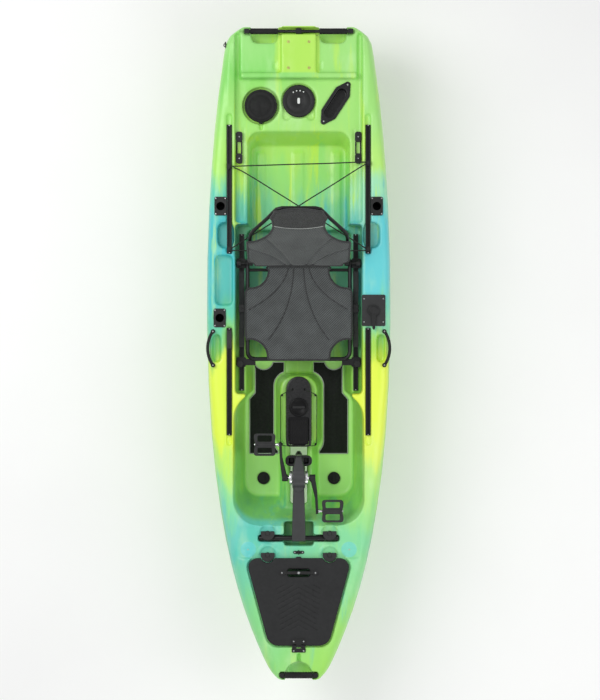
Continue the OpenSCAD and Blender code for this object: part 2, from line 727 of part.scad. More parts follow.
module latch_posts() {
    color("#8d9092") for (s = sides, y = [drive_latch_y, hatch_latch_y])
        translate([s * latch_x, y, platform_z - 4 + soft_gap]) {
            cylinder(r = 12, h = 4.5);
            cylinder(r = 5, h = 21.5);
            translate([0, 0, 21.7]) cylinder(r = 7.5, h = 2.4);
            translate([0, 0, 21]) cylinder(r = 3, h = 2);
        }
}

// Cleats that the tank cord loops round, hooks of the console cord, and eyes that lines tie to:
// one on the platform's middle and one on the stern quarter
module cord_anchors() {
    color("#262728") {
        for (p = [[-1, 908], [1, 925], [-1, 502], [1, 502]])
            translate([p[0] * track_x, p[1], side_deck_z + 1]) {
                linear_extrude(5) rounded(22, 26, 5);
                translate([0, 0, 4]) cylinder(r = 4, h = 10);
                translate([0, 0, 19]) cylinder(r = 8, h = 3);
                translate([0, 0, 10]) cylinder(r = 3, h = 10);
            }
        for (s = sides, y = [-218, -462])
            translate([s * 84, y, spine_z - 3]) {
                cylinder(r = 5.5, h = 6);
                cylinder(r = 2.6, h = 12);
            }
        difference() {
            union() {
                plate(-27, 27, -993, -979, 6.9, platform_z + soft_gap, platform_z + 4);
                translate([0, -986, platform_z + 3]) rotate([90, 0, 90])
                    rotate_extrude(angle = 180) translate([9, 0]) circle(2.5);
            }
            for (s = sides) translate([s * 19, -986, platform_z - 4]) cylinder(r = 2.2, h = 20);
        }
        translate([-359, 1511, 300]) rotate([0, -70, 6]) {
            linear_extrude(3) rounded(14, 34, 6);
            translate([0, 0, 3]) rotate([90, 0, 90]) rotate_extrude(angle = 180)
                translate([8, 0]) circle(2.2);
        }
    }
}

// ============================ Front hatch ============================

module front_hatch_lid() {
    color("#323334") on_bow_deck() difference() {
        union() {
            translate([0, 0, -lid_t]) linear_extrude(lid_t) lid_outline(0);
            translate([0, 2, -lid_t + 3]) linear_extrude(lid_t - 5) square([24, 10], center = true);
        }
        for (s = sides)
            translate([s * latch_x, hatch_latch_y - hatch_y, -60]) cylinder(r = latch_r + 3, h = 120, $fn = 32);
        // pocket under the pull handle
        translate([0, -72, -8]) linear_extrude(20) rounded(112, 40, 12);
        // hollow underside
        translate([0, 0, -lid_t - 1]) linear_extrude(lid_t - 8) lid_outline(-44);
    }
}

module hatch_seal() {
    color("#1a1b1c") on_bow_deck() translate([0, 0, -18.5]) linear_extrude(4) difference() {
        lid_outline(-24);
        lid_outline(-31);
    }
}

module hatch_pull() {
    color("#1e1f20") on_bow_deck() {
        difference() {
            translate([0, -72, 0.4]) linear_extrude(5) {
                for (s = sides) translate([s * 82, 0]) circle(13);
                square([164, 15], center = true);
            }
            for (s = sides) translate([s * 82, -72, -1]) cylinder(r = 2.2, h = 10);
        }
        translate([0, -72, 5]) linear_extrude(3.5) rounded(118, 13, 6);
    }
}

hinge_half = 34;
hinge_r = 4.4;                  // of the hinge's knuckles
module hatch_hinge_leaf() {
    color("#262728") on_bow_deck() difference() {
        union() {
            plate(-hinge_half, hinge_half, -416, -392, 5, 0.4, 4);
            rod_x(-12, 12, hatch_pivot[0], hatch_pivot[1], hinge_r);
            box(-12, 12, hatch_pivot[0], -400, 1, 4);
        }
        rod_x(-20, 20, hatch_pivot[0], hatch_pivot[1], 3 + run_gap);
        for (s = sides) translate([s * 24, -403, -1]) cylinder(r = 2.2, h = 10);
    }
}

module hatch_hinge_base() {
    color("#262728") on_bow_deck() {
        difference() {
            union() {
                plate(-hinge_half, hinge_half, -456, -436, 5, 1.2, 4.4);
                for (s = sides) {
                    rod_x(s * 13, s * 32, hatch_pivot[0], hatch_pivot[1], hinge_r);
                    box(s * 22.5 - 9.5, s * 22.5 + 9.5, -440, hatch_pivot[0], 1.2, 4.4);
                }
            }
            for (s = sides) translate([s * 24, -448, -1]) cylinder(r = 2.2, h = 10);
        }
        rod_x(-31, 31, hatch_pivot[0], hatch_pivot[1], 3);
    }
}

// ============================ Drive ============================

arm_end_y = -668;
head_r = 50;
head_half = 31;
axle_r = 8.5;
module drive_arm() {
    color("#4a4c4d") difference() {
        hull() {
            rod_x(-33.5, 33.5, bar_y, bar_z, 17, $fn = 32);
            rod_x(-27, 27, arm_end_y + 14, crank_z - 6, 21, $fn = 32);
        }
        rod_x(-60, 60, bar_y, bar_z, cross_bar_d / 2);
        rod_x(-60, 60, crank_y, crank_z, head_r);
    }
}

module cross_bar() {
    color("#55585a") difference() {
        rod_x(-193, 193, bar_y, bar_z, cross_bar_d / 2);
        rod_x(-194, 194, bar_y, bar_z, cross_bar_d / 2 - 3);
    }
}

module drive_head() {
    color("#4c4e4f") difference() {
        union() {
            rod_x(-head_half, head_half, crank_y, crank_z, head_r);
            hull() {
                rod_x(-26, 26, crank_y + 20, crank_z + 4, 40, $fn = 32);
                rod_x(-13, 13, -532, crank_z - 6, 20, $fn = 32);
            }
            // cap over the arm's joint
            translate([0, -664, crank_z + 8]) cylinder(r = 24, h = 12);
        }
        rod_x(-head_half + 6, head_half - 6, crank_y, crank_z, 40);
        rod_x(-60, 60, crank_y, crank_z, axle_r + 4);
        translate([0, crank_y, crank_z - 60]) cylinder(r = 10, h = 40);
    }
}

// Bearings, pressed into the head and gearcase, that the shafts run in
module shaft_bearings() {
    color("#b8bcc0") {
        for (s = sides) difference() {
            rod_x(s * (head_half - 6), s * head_half, crank_y, crank_z, axle_r + 4);
            rod_x(-60, 60, crank_y, crank_z, axle_r + run_gap);
        }
        for (z = [gearcase_z + 60, crank_z - 75]) translate([0, crank_y, z]) difference() {
            cylinder(r = 10, h = 10);
            translate([0, 0, -1]) cylinder(r = 6 + run_gap, h = 12);
        }
        difference() {
            rod_y(0, -590, -578, gearcase_z, 16);
            rod_y(0, -600, -570, gearcase_z, 6 + run_gap);
        }
    }
}

module drive_cowl() {
    color("#222324") difference() {
        union() {
            hull() {
                plate(-60, 60, -565, -514, 22, 226, 228);
                plate(-66, 66, -565, -512, 24, 296, 311);
            }
            box(-20, 20, -592, -558, 232, 296);
        }
        translate([0, crank_y, 200]) linear_extrude(200) leg_section();
        for (s = sides) box(s * 36 - 12, s * 36 + 12, -553, -525, 250, 330);
    }
}

leg_chord = 84;
leg_t = 34;
leg_arc_r = (pow(leg_chord / 2, 2) + pow(leg_t / 2, 2)) / leg_t;
module leg_section() {
    intersection() {
        translate([leg_arc_r - leg_t / 2, 0]) circle(leg_arc_r, $fn = 96);
        translate([-leg_arc_r + leg_t / 2, 0]) circle(leg_arc_r, $fn = 96);
    }
}
gearcase_y = [-745, -571];
gearcase_r = 32;
module gearcase_form() {
    translate([0, 0, gearcase_z]) rotate([-90, 0, 0]) rotate_extrude() polygon(concat(
        [[0, gearcase_y[0]]],
        [for (a = [15:15:90]) [gearcase_r * sin(a), gearcase_y[0] + 46 * (1 - cos(a))]],
        [for (a = [0:15:90]) [24 + 8 * cos(a), -606 + 35 * sin(a)]],
        [[0, gearcase_y[1]]]));
}

// Leg and gearcase, one casting, hollow for the shafts
module drive_leg() {
    color("#2d2e2f") difference() {
        union() {
            translate([0, crank_y, gearcase_z + 10])
                linear_extrude(crank_z - head_r - gearcase_z) leg_section();
            gearcase_form();
        }
        rod_x(-60, 60, crank_y, crank_z, head_r);
        translate([0, crank_y, gearcase_z]) cylinder(r = 10, h = 600);
        rod_y(0, -680, -590, gearcase_z, 24);
        rod_y(0, -600, -560, gearcase_z, 16);
    }
}

module vertical_shaft() {
    color("#c0c3c6") translate([0, crank_y, 0]) {
        translate([0, 0, gearcase_z + 11]) cylinder(r = 6, h = crank_z - gearcase_z - 11 - 36);
        translate([0, 0, gearcase_z + 5.4]) cylinder(r1 = 13, r2 = 18.5, h = 2.2);
        translate([0, 0, gearcase_z + 7.6]) cylinder(r = 18.5, h = 4);
        translate([0, 0, crank_z - 37]) cylinder(r1 = 8.9, r2 = 6.8, h = 8.5);
    }
}

module crank_axle() {
    color("#c0c3c6") {
        rod_x(-78, 78, crank_y, crank_z, axle_r);
        // crown gear that drives the vertical shaft
        translate([7.4, crank_y, crank_z]) rotate([0, 90, 0]) cylinder(r1 = 28, r2 = 36.8, h = 2.2);
        rod_x(9.6, 15, crank_y, crank_z, 36.8);
    }
}

module head_rings() {
    color("#b9bec0") for (s = sides) difference() {
        rod_x(s * (head_half + 1), s * 45, crank_y, crank_z, 33);
        rod_x(-60, 60, crank_y, crank_z, axle_r);
        for (a = [0:60:300])
            rod_x(s * 40, s * 60, crank_y + 22 * cos(a), crank_z + 22 * sin(a), 5);
    }
}

// Crank arm on the side s; it points aft (d = 1) or forward (d = -1) at rest
module crank_arm(s, d) {
    end_y = crank_y + d * crank_len;
    difference() {
        union() {
            rod_x(s * 52, s * 82, crank_y, crank_z, 17);
            hull() {
                rod_x(s * 58, s * 80, crank_y, crank_z, 15, $fn = 32);
                rod_x(s * 80, s * 92, crank_y + d * crank_len * 0.55, crank_z, 12, $fn = 32);
            }
            hull() {
                rod_x(s * 80, s * 92, crank_y + d * crank_len * 0.55, crank_z, 12, $fn = 32);
                rod_x(s * 84, s * 96, end_y, crank_z, 14, $fn = 32);
            }
        }
        rod_x(s * 40, s * 78, crank_y, crank_z, axle_r);
        rod_x(s * 70, s * 110, end_y, crank_z, 6);
    }
}

module crank_arms() { color("#303132") for (s = sides) crank_arm(s, -s); }

module pedal_spindles() {
    color("#d0d2d4") for (s = sides) {
        rod_x(s * 84, s * 218, crank_y - s * crank_len, crank_z, 6);
        rod_x(s * 97, s * 105, crank_y - s * crank_len, crank_z, 9);
    }
}

module pedal(s) {
    y = crank_y - s * crank_len;
    difference() {
        union() {
            translate([s * 167, y, crank_z - 8]) linear_extrude(16) difference() {
                rounded(106, 110, 14);
                for (e = sides) translate([0, e * 30]) rounded(70, 30, 7);
            }
            rod_x(s * 112, s * 219, y, crank_z, 13);
            for (x = [-44, -22, 0, 22, 44], e = sides)
                translate([s * 167 + x, y + e * 49, crank_z - 10]) cylinder(r = 2.5, h = 20);
        }
        rod_x(s * 108, s * 218.5, y, crank_z, 6 + run_gap);
    }
}
module pedal_left() { color("#3b3d3e") pedal(-1); }
module pedal_right() { color("#3b3d3e") pedal(1); }

// Propeller with its shaft and the shaft's gear
module propeller() {
    color("#c0c3c6") {
        rod_y(0, -601, -568, gearcase_z, 6);
        translate([0, -606.8, gearcase_z]) rotate([-90, 0, 0]) cylinder(r1 = 5, r2 = 7.2, h = 5.6);
        rod_y(0, -601.2, -597, gearcase_z, 7.2);
    }
    color("#232425") {
        rod_y(0, -568, -536, gearcase_z, 19);
        translate([0, -536, gearcase_z]) rotate([-90, 0, 0]) cylinder(r1 = 19, r2 = 8, h = 18);
        for (a = [0, 180])
            translate([0, prop_y, gearcase_z]) rotate([0, a, 0]) translate([0, 0, 14])
                linear_extrude(prop_r - 14, twist = 28, slices = 8, scale = [0.7, 0.8])
                    rotate(38) rounded(46, 4, 1.9, $fn = 16);
    }
}

// ============================ Steering ============================

module rudder() {
    color("#2a2b2c") {
        translate([0, rudder_y, 100]) cylinder(r = 6, h = 60);
        translate([0, rudder_y, 108]) cylinder(r = 16, h = 10);
        hull() {
            translate([0, rudder_y, -84]) cylinder(r = 5, h = 194, $fn = 24);
            translate([0, rudder_y + 60, -88]) cylinder(r = 4, h = 198, $fn = 24);
            translate([0, rudder_y + 150, -60]) cylinder(r = 1.2, h = 168, $fn = 16);
        }
    }
}

// Saddles that the cross-bar turns in, and the tube that the rudder's post turns in
module bearing_blocks() {
    color("#55585a") {
        for (s = sides)
            difference() {
                box(s * 110 - 14, s * 110 + 14, bar_y - 16.4, bar_y + 16.4, 306.5, bar_z);
                rod_x(s * 110 - 20, s * 110 + 20, bar_y, bar_z, cross_bar_d / 2 + run_gap);
            }
        difference() {
            translate([0, rudder_y, 125.5]) union() {
                cylinder(r = 24, h = 4);
                cylinder(r = 12, h = 30);
                // stop for the steering cable's end
                translate([24, 0, 10]) cube([34, 10, 20], center = true);
            }
            translate([0, rudder_y, 110]) cylinder(r = 6 + run_gap, h = 60);
        }
    }
}

// ============================ Seat ============================

hinge_y = 436;
hinge_z = 306;
tube_r = seat_tube_d / 2;
seat_tube_x = seat_w / 2 - tube_r;
seat_tube_z = 277;
seat_tube_front = -37;
seat_corner_r = 36;
function seat_corner(s, a0, a1) = [for (a = [a0:(a1 - a0) / 4:a1])
    [s * (seat_tube_x - seat_corner_r) + seat_corner_r * cos(a),
        seat_tube_front + seat_corner_r * (1 + sin(a)), seat_tube_z]];
seat_tube_route = concat([[-seat_tube_x, hinge_y + 14, seat_tube_z]], seat_corner(-1, 180, 270),
    seat_corner(1, 270, 360), [[seat_tube_x, hinge_y + 14, seat_tube_z]]);
module seat_frame() {
    color("#2c2d2e") difference() {
        union() {
            cord_tube(seat_tube_route, seat_tube_d, 16);
            for (s = sides) {
                box(s < 0 ? -256 : 250, s < 0 ? -250 : 256, 424, 458, seat_tube_z, hinge_z + 16);
                // feet that ride on the rails, each with an arm to the tube
                for (foot = [[-48, 214], [441, 255]]) {
                    plate(s < 0 ? -306 : 262, s < 0 ? -262 : 306, foot[0] - 28, foot[0] + 20, 6,
                        ledge_z + rail_h + 1.3, 272);
                    box(s < 0 ? -306 : foot[1], s < 0 ? -foot[1] : 306, foot[0] - 20, foot[0] + 12, 266, 276);
                }
            }
            rod_x(-seat_tube_x, seat_tube_x, 404, 264, tube_r - 2);
        }
        rod_x(-300, 300, hinge_y, hinge_z, 6 + run_gap);
    }
}

// Knobs that clamp the feet to the rails, and the pins and knobs of the backrest's hinge
module seat_knobs() {
    color("#3d3e3f") for (s = sides) {
        translate([s * 290, -62, 276.5]) {
            cylinder(r = 15, h = 12);
            for (a = [0:60:300]) rotate(a) translate([14, 0, 0]) cylinder(r = 4, h = 12);
        }
        rod_x(s * 222, s * 300, hinge_y, hinge_z, 6);
        rod_x(s * 284, s * 303, hinge_y, hinge_z, 15);
    }
}

module on_back() {
    translate([0, hinge_y, hinge_z]) rotate([-back_tilt, 0, 0]) children();
}

// Points of the backrest tube, in the plane of the back
back_side = [[236, 0], [236, 205], [231, 240], [216, 270], [146, back_len - 98], [124, back_len - 60],
    [104, back_len - 30], [80, back_len - 20]];
back_bend = concat([for (p = back_side) [-p[0], 0, p[1]]],
    [for (i = [len(back_side) - 1:-1:0]) [back_side[i][0], 0, back_side[i][1]]]);
module back_frame() {
    color("#2c2d2e") on_back() difference() {
        union() {
            cord_tube(back_bend, seat_tube_d - 2, 16, [0, 1, 0]);
            for (s = sides) rod_x(s * 226, s * 247, 0, 0, 14);
            rod_x(-236, 236, 4, 150, 6);
        }
        rod_x(-300, 300, 0, 0, 6 + run_gap);
    }
}

// The seat pan: a mesh panel over the frame's tubes, and the hammock of it between them
module seat_sling() {
    color("#4b4e50") difference() {
        translate([0, 0, 287.6]) linear_extrude(9) difference() {
            translate([0, 187]) rounded(seat_w, 468, 16);
            for (s = sides) {
                translate([s * (seat_w / 2 - 20), 402]) circle(88);
                translate([s * (seat_w / 2 - 18), -24]) circle(84);
            }
        }
    }
    color("#4b4e50") translate([0, 0, 270]) linear_extrude(18.5) difference() {
        translate([0, 186]) rounded(2 * (seat_tube_x - tube_r - 4), 380, 60);
        for (s = sides) {
            translate([s * (seat_w / 2 - 20), 402]) circle(92);
            translate([s * (seat_w / 2 - 18), -24]) circle(88);
        }
    }
}

module back_sling() {
    color("#424547") on_back() translate([0, 1 - tube_r, 0]) rotate([90, 0, 0]) linear_extrude(15)
        difference() {
            polygon([[-250, 44], [-238, 26], [238, 26], [250, 44], [250, 262], [122, back_len - 70],
                [112, back_len], [-112, back_len], [-122, back_len - 70], [-250, 262]]);
            for (s = sides) translate([s * 268, 345]) circle(146);
        }
}

// Webbing that sets the backrest's angle, along the left and right of the seat
module seat_straps() {
    color("#1c1d1e") for (s = sides) {
        plate(s < 0 ? -297 : 268, s < 0 ? -268 : 297, 20, 398, 3, 264, 267);
        plate(s < 0 ? -299 : 266, s < 0 ? -266 : 299, 190, 236, 4, 268, 276);
    }
}

// ============================ Small loose parts ============================

module scupper_plug(s) {
    translate([s * scupper_place[0], scupper_place[1], footwell_z + soft_gap]) {
        cylinder(r = 31, h = 8);
        translate([0, 0, -34]) cylinder(r1 = 20, r2 = 25, h = 35);
        translate([0, 0, 7]) linear_extrude(10) rounded(12, 46, 5);
    }
}
module scupper_plug_left() { color("#1e1f20") scupper_plug(-1); }
module scupper_plug_right() { color("#1e1f20") scupper_plug(1); }

module drain_plug() {
    color("#1e1f20") {
        rod_y(0, half_len - 28, half_len, drain_z, 8.5);
        rod_y(0, half_len + soft_gap, half_len + 4, drain_z, 15);
        box(-10, 10, half_len + 3, half_len + 9, drain_z - 2.5, drain_z + 2.5);
        rod_y(0, half_len - 1, half_len + 1, drain_z, 8.5);
    }
}

module track_cleat() {
    z = side_deck_z + soft_gap + 1;
    color("#3a3b3c") difference() {
        plate(-track_x - 11, -track_x + 11, 15, 103, 5, z, z + 9);
        for (y = [26, 92]) translate([-track_x, y, z + 5]) cylinder(r = 3, h = 10);
    }
}

// Screws that hold the fittings down
module deck_screws() {
    plate_top = side_deck_z + soft_gap + rod_plate_t;
    color("#c9cccd") {
        for (p = rod_holder_places, x = sides, y = sides)
            screw(p[0] + x * rod_screw[0], p[1] + y * rod_screw[1], plate_top + 0.1);
        for (x = sides, y = sides)
            screw(steer_plate[0] + x * steer_screw[0], steer_plate[1] + y * steer_screw[1],
                side_deck_z + soft_gap + steer_plate_t + 0.1);
        for (s = sides, y = [clip_y[0] + 25, clip_y[1] - 25])
            screw(s * 293, y, aft_deck_z + 16.1);
        for (s = sides, y = [aft_track_y[0] + 4, aft_track_y[1] - 4, front_track_y[0] + 4, front_track_y[1] - 4])
            screw(s * track_x, y, side_deck_z + soft_gap + 0.1, 3.4);
        for (s = sides, y = [rail_y[0] + 4, rail_y[1] - 4])
            screw(s * rail_x, y, ledge_z + soft_gap + rail_h + 0.1, 3.4);
        for (s = sides)
            translate([tray_place[0], tray_place[1], 0]) rotate(tray_turn)
                screw(s * 108, 0, aft_deck_z + soft_gap + 6.1, 5);
        for (s = sides) screw(s * 19, -986, platform_z + 4.1, 4.2, 3);
        for (s = sides, e = sides)
            translate([s * (455 - 8 - handle_arc_r), 16, side_deck_z + 14.1])
                rotate(s > 0 ? e * 34 : 180 + e * 34) screw(handle_arc_r - 1, 0, 0, 4.2, 6);
        on_bow_deck() for (s = sides) screw(s * 24, -448, 4.5, 4.6, 3);
    }
}

// Screws of the lid's own pull handle and hinge leaf
module lid_screws() {
    color("#d9dcdd") on_bow_deck() {
        for (s = sides) {
            screw(s * 24, -403, 4.1, 4.6, 3);
            screw(s * 82, -72, 5.5, 4.6, 4);
        }
        translate([0, -72, 8.6]) cylinder(r1 = 8, r2 = 5, h = 4);
    }
}

hull_shell();
gear_tracks();
seat_rails();
rod_holders();
steering_plate();
steering_lever();
side_handles();
paddle_clips();
round_hatch_rim();
round_hatch_lid();
disc_hatch_lid();
accessory_tray();
threaded_inserts();
handle_bars();
handle_grips();
foot_pads();
console_base();
console_lid();
console_cap();
bungee_cords();
steering_cable();
cord_anchors();
drive_latch_left();
drive_latch_right();
hatch_latch_left();
hatch_latch_right();
latch_posts();
bearing_blocks();
front_hatch_lid();
hatch_seal();
hatch_pull();
hatch_hinge_leaf();
hatch_hinge_base();
drive_arm();
cross_bar();
drive_head();
shaft_bearings();
drive_cowl();
drive_leg();
vertical_shaft();
crank_axle();
head_rings();
crank_arms();
pedal_spindles();
pedal_left();
pedal_right();
propeller();
rudder();
seat_frame();
seat_knobs();
back_frame();
seat_sling();
back_sling();
seat_straps();
scupper_plug_left();
scupper_plug_right();
drain_plug();
track_cleat();
deck_screws();
lid_screws();
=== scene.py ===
"""Looks of the pedal kayak: a moulded marbled hull, mesh seat, foam pads, cords and black fittings."""

import json
import math

import bmesh
import bpy
import numpy as np
from mathutils import Matrix, Vector


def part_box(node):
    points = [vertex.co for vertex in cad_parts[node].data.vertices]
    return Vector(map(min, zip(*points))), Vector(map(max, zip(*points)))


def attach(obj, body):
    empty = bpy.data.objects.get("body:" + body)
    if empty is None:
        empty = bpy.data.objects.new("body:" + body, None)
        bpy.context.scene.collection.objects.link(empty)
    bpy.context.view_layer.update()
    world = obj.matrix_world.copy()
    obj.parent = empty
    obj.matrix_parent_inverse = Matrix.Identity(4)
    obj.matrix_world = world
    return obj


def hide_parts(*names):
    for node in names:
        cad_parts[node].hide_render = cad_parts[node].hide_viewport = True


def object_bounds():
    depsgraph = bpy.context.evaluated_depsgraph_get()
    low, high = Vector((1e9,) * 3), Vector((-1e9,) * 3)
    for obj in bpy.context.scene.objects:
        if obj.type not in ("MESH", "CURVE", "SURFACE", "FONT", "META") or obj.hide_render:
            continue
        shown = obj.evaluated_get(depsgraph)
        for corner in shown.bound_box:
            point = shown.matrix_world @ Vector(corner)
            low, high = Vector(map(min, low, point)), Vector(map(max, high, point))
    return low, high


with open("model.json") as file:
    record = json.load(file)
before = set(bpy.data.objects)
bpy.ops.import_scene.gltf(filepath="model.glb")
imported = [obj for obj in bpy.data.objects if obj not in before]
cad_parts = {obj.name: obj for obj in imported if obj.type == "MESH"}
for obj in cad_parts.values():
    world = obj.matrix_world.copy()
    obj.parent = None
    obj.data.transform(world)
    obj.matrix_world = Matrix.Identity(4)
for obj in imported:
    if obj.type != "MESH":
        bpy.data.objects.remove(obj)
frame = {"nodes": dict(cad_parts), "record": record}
cad_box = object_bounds()
NODES = frame["nodes"]
BODY_OF = {n: b for b, names in frame["record"]["behaviour"]["bodies"].items() for n in names}
MM = 0.001
SIDES = (-1, 1)
SHARP = math.radians(34)  # edges sharper than this are broken

# ---------------------------------------------------------------- camera, light and floor

DECK_Z = 0.33            # height of the side deck, which the picture's scale is worked out for
CAMERA_RISE = 8.0        # camera above the deck
VIEW_LENGTH = 3.441      # length of deck that the picture's long side shows
CAMERA_SPOT = (0.0064, 0.0074)      # a little to one side and aft of amidships
SENSOR = 36
FLOOR_GAP = 0.012        # floor below the lowest point


def make_camera():
    data = bpy.data.cameras.new("camera")
    data.sensor_width = SENSOR
    data.lens = SENSOR * CAMERA_RISE / VIEW_LENGTH
    camera = bpy.data.objects.new("camera", data)
    camera.location = (*CAMERA_SPOT, DECK_Z + CAMERA_RISE)
    bpy.context.scene.collection.objects.link(camera)
    bpy.context.scene.camera = camera


def area_light(name, place, aim, size, power):
    data = bpy.data.lights.new(name, "AREA")
    data.shape = "RECTANGLE"
    data.size, data.size_y = size
    data.energy = power
    light = bpy.data.objects.new(name, data)
    light.location = place
    light.rotation_euler = (Vector(aim) - Vector(place)).to_track_quat("-Z", "Y").to_euler()
    bpy.context.scene.collection.objects.link(light)


def make_studio():
    world = bpy.data.worlds.new("studio")
    world.use_nodes = True
    sky = world.node_tree.nodes["Background"]
    sky.inputs["Color"].default_value = (1, 1, 1, 1)
    sky.inputs["Strength"].default_value = 0.60
    bpy.context.scene.world = world
    bpy.context.scene.view_settings.view_transform = "Standard"
    area_light("key", (-2.6, 1.6, 4.2), (0, 0, 0.2), (2.2, 3.6), 112)
    area_light("fill", (3.2, -0.6, 3.6), (0, 0, 0.2), (2.0, 4.0), 50)
    area_light("low_bow", (0.4, -4.2, 2.0), (0, -0.4, 0.2), (2.4, 1.2), 26)


def make_floor():
    floor_z = cad_box[0].z - FLOOR_GAP
    bm = bmesh.new()
    bmesh.ops.create_grid(bm, x_segments=1, y_segments=1, size=30)
    bmesh.ops.translate(bm, verts=bm.verts, vec=(0, 0, floor_z))
    data = bpy.data.meshes.new("floor")
    bm.to_mesh(data)
    floor = bpy.data.objects.new("floor", data)
    bpy.context.scene.collection.objects.link(floor)
    paint = Paint("floor_white")
    paint.colour((0.93, 0.93, 0.93), variation=0.01, scale=1.5)
    paint.set("Roughness", 0.8)
    paint.set("Specular IOR Level", 0.1)
    floor.data.materials.append(paint.material)


# ---------------------------------------------------------------- materials


def linear(code):
    """Scene-linear colour of a hex code."""
    parts = [int(code[i:i + 2], 16) / 255 for i in (1, 3, 5)]
    return tuple(c / 12.92 if c <= 0.04045 else ((c + 0.055) / 1.055) ** 2.4 for c in parts)


class Paint:
    """One procedural material, built in small steps. Patterns are read in the row frame, in metres."""

    def __init__(self, name):
        self.material = bpy.data.materials.new(name)
        self.material.use_nodes = True
        self.tree = self.material.node_tree
        self.shader = self.tree.nodes["Principled BSDF"]
        self.place = self.node("ShaderNodeTexCoord").outputs["Object"]

    def node(self, kind, **values):
        made = self.tree.nodes.new(kind)
        for key, value in values.items():
            setattr(made, key, value)
        return made

    def link(self, source, target):
        if isinstance(source, (int, float, tuple, list)):
            target.default_value = source
        else:
            self.tree.links.new(source, target)

    def set(self, socket, value):
        self.link(value, self.shader.inputs[socket])

    def math(self, operation, a, b=0.0):
        made = self.node("ShaderNodeMath", operation=operation)
        self.link(a, made.inputs[0])
        self.link(b, made.inputs[1])
        return made.outputs[0]

    def axis(self, direction):
        """Place along a direction, in metres."""
        made = self.node("ShaderNodeVectorMath", operation="DOT_PRODUCT")
        self.link(self.place, made.inputs[0])
        made.inputs[1].default_value = direction
        return made.outputs["Value"]

    def noise(self, scale, detail=3.0, stretch=(1, 1, 1), roughness=0.5, offset=(0, 0, 0)):
        mapping = self.node("ShaderNodeMapping")
        mapping.inputs["Scale"].default_value = stretch
        mapping.inputs["Location"].default_value = offset
        self.link(self.place, mapping.inputs["Vector"])
        made = self.node("ShaderNodeTexNoise")
        made.inputs["Scale"].default_value = scale
        made.inputs["Detail"].default_value = detail
        made.inputs["Roughness"].default_value = roughness
        self.link(mapping.outputs["Vector"], made.inputs["Vector"])
        return made.outputs["Fac"]

    def ramp(self, factor, stops):
        made = self.node("ShaderNodeValToRGB")
        made.color_ramp.interpolation = "EASE"
        elements = made.color_ramp.elements
        while len(elements) < len(stops):
            elements.new(0.5)
        for element, (at, colour) in zip(elements, stops):
            element.position = at
            element.color = (*colour, 1)
        self.link(factor, made.inputs["Fac"])
        return made.outputs["Color"]

    def grey(self, factor, low, high, smooth=False):
        """Number ramp: 0 below low, 1 above high."""
        made = self.node("ShaderNodeMapRange", clamp=True)
        made.interpolation_type = "SMOOTHSTEP" if smooth else "LINEAR"
        self.link(factor, made.inputs["Value"])
        made.inputs["From Min"].default_value = low
        made.inputs["From Max"].default_value = high
        return made.outputs["Result"]

    def mix(self, factor, a, b):
        made = self.node("ShaderNodeMix", data_type="RGBA")
        self.link(factor, made.inputs["Factor"])
        for value, socket in ((a, made.inputs["A"]), (b, made.inputs["B"])):
            self.link((*value, 1) if isinstance(value, tuple) and len(value) == 3 else value, socket)
        return made.outputs["Result"]

    def colour(self, base, variation=0.12, scale=9.0, stretch=(1, 1, 1)):
        """Base colour with soft cloudy variation and fine speckle."""
        cloud = self.noise(scale, 4, stretch)
        dark = tuple(c * (1 - variation) for c in base)
        light = tuple(min(1, c * (1 + variation)) for c in base)
        self.set("Base Color", self.mix(self.grey(cloud, 0.3, 0.7), dark, light))

    def rough(self, low, high, scale=14.0, stretch=(1, 1, 1)):
        fine = self.noise(scale, 5, stretch, offset=(3.1, 1.7, 0.4))
        made = self.node("ShaderNodeMapRange", clamp=True)
        self.link(fine, made.inputs["Value"])
        made.inputs["From Min"].default_value = 0.3
        made.inputs["From Max"].default_value = 0.7
        made.inputs["To Min"].default_value = low
        made.inputs["To Max"].default_value = high
        self.set("Roughness", made.outputs["Result"])

    def bump(self, height, depth, strength):
        """Adds a bump of that depth, in metres, on top of any earlier one."""
        made = self.node("ShaderNodeBump")
        made.inputs["Strength"].default_value = strength
        made.inputs["Distance"].default_value = depth
        self.link(height, made.inputs["Height"])
        normal = self.shader.inputs["Normal"]
        if normal.is_linked:
            self.link(normal.links[0].from_socket, made.inputs["Normal"])
        self.tree.links.new(made.outputs["Normal"], normal)


BOW_Y = cad_box[0].y
STERN_Y = cad_box[1].y

# pitch of the fine patterns, in metres
MESH_PITCH = 0.0074
COARSE_SHARE = 0.62      # the mesh's second set of threads is coarser by this share
TAPE_RIB, TAPE_ROW = 0.0032, 0.0045
BRAID_PITCH = 0.0042
FOAM_GROOVE = 0.0055


def stops(text):
    """Ramp stops from pairs of place and colour."""
    words = text.split()
    return [(float(place), linear(code)) for place, code in zip(words[::2], words[1::2])]


def levels(text):
    """Ramp stops from pairs of place and grey level."""
    numbers = [float(word) for word in text.split()]
    return [(place, (level,) * 3) for place, level in zip(numbers[::2], numbers[1::2])]


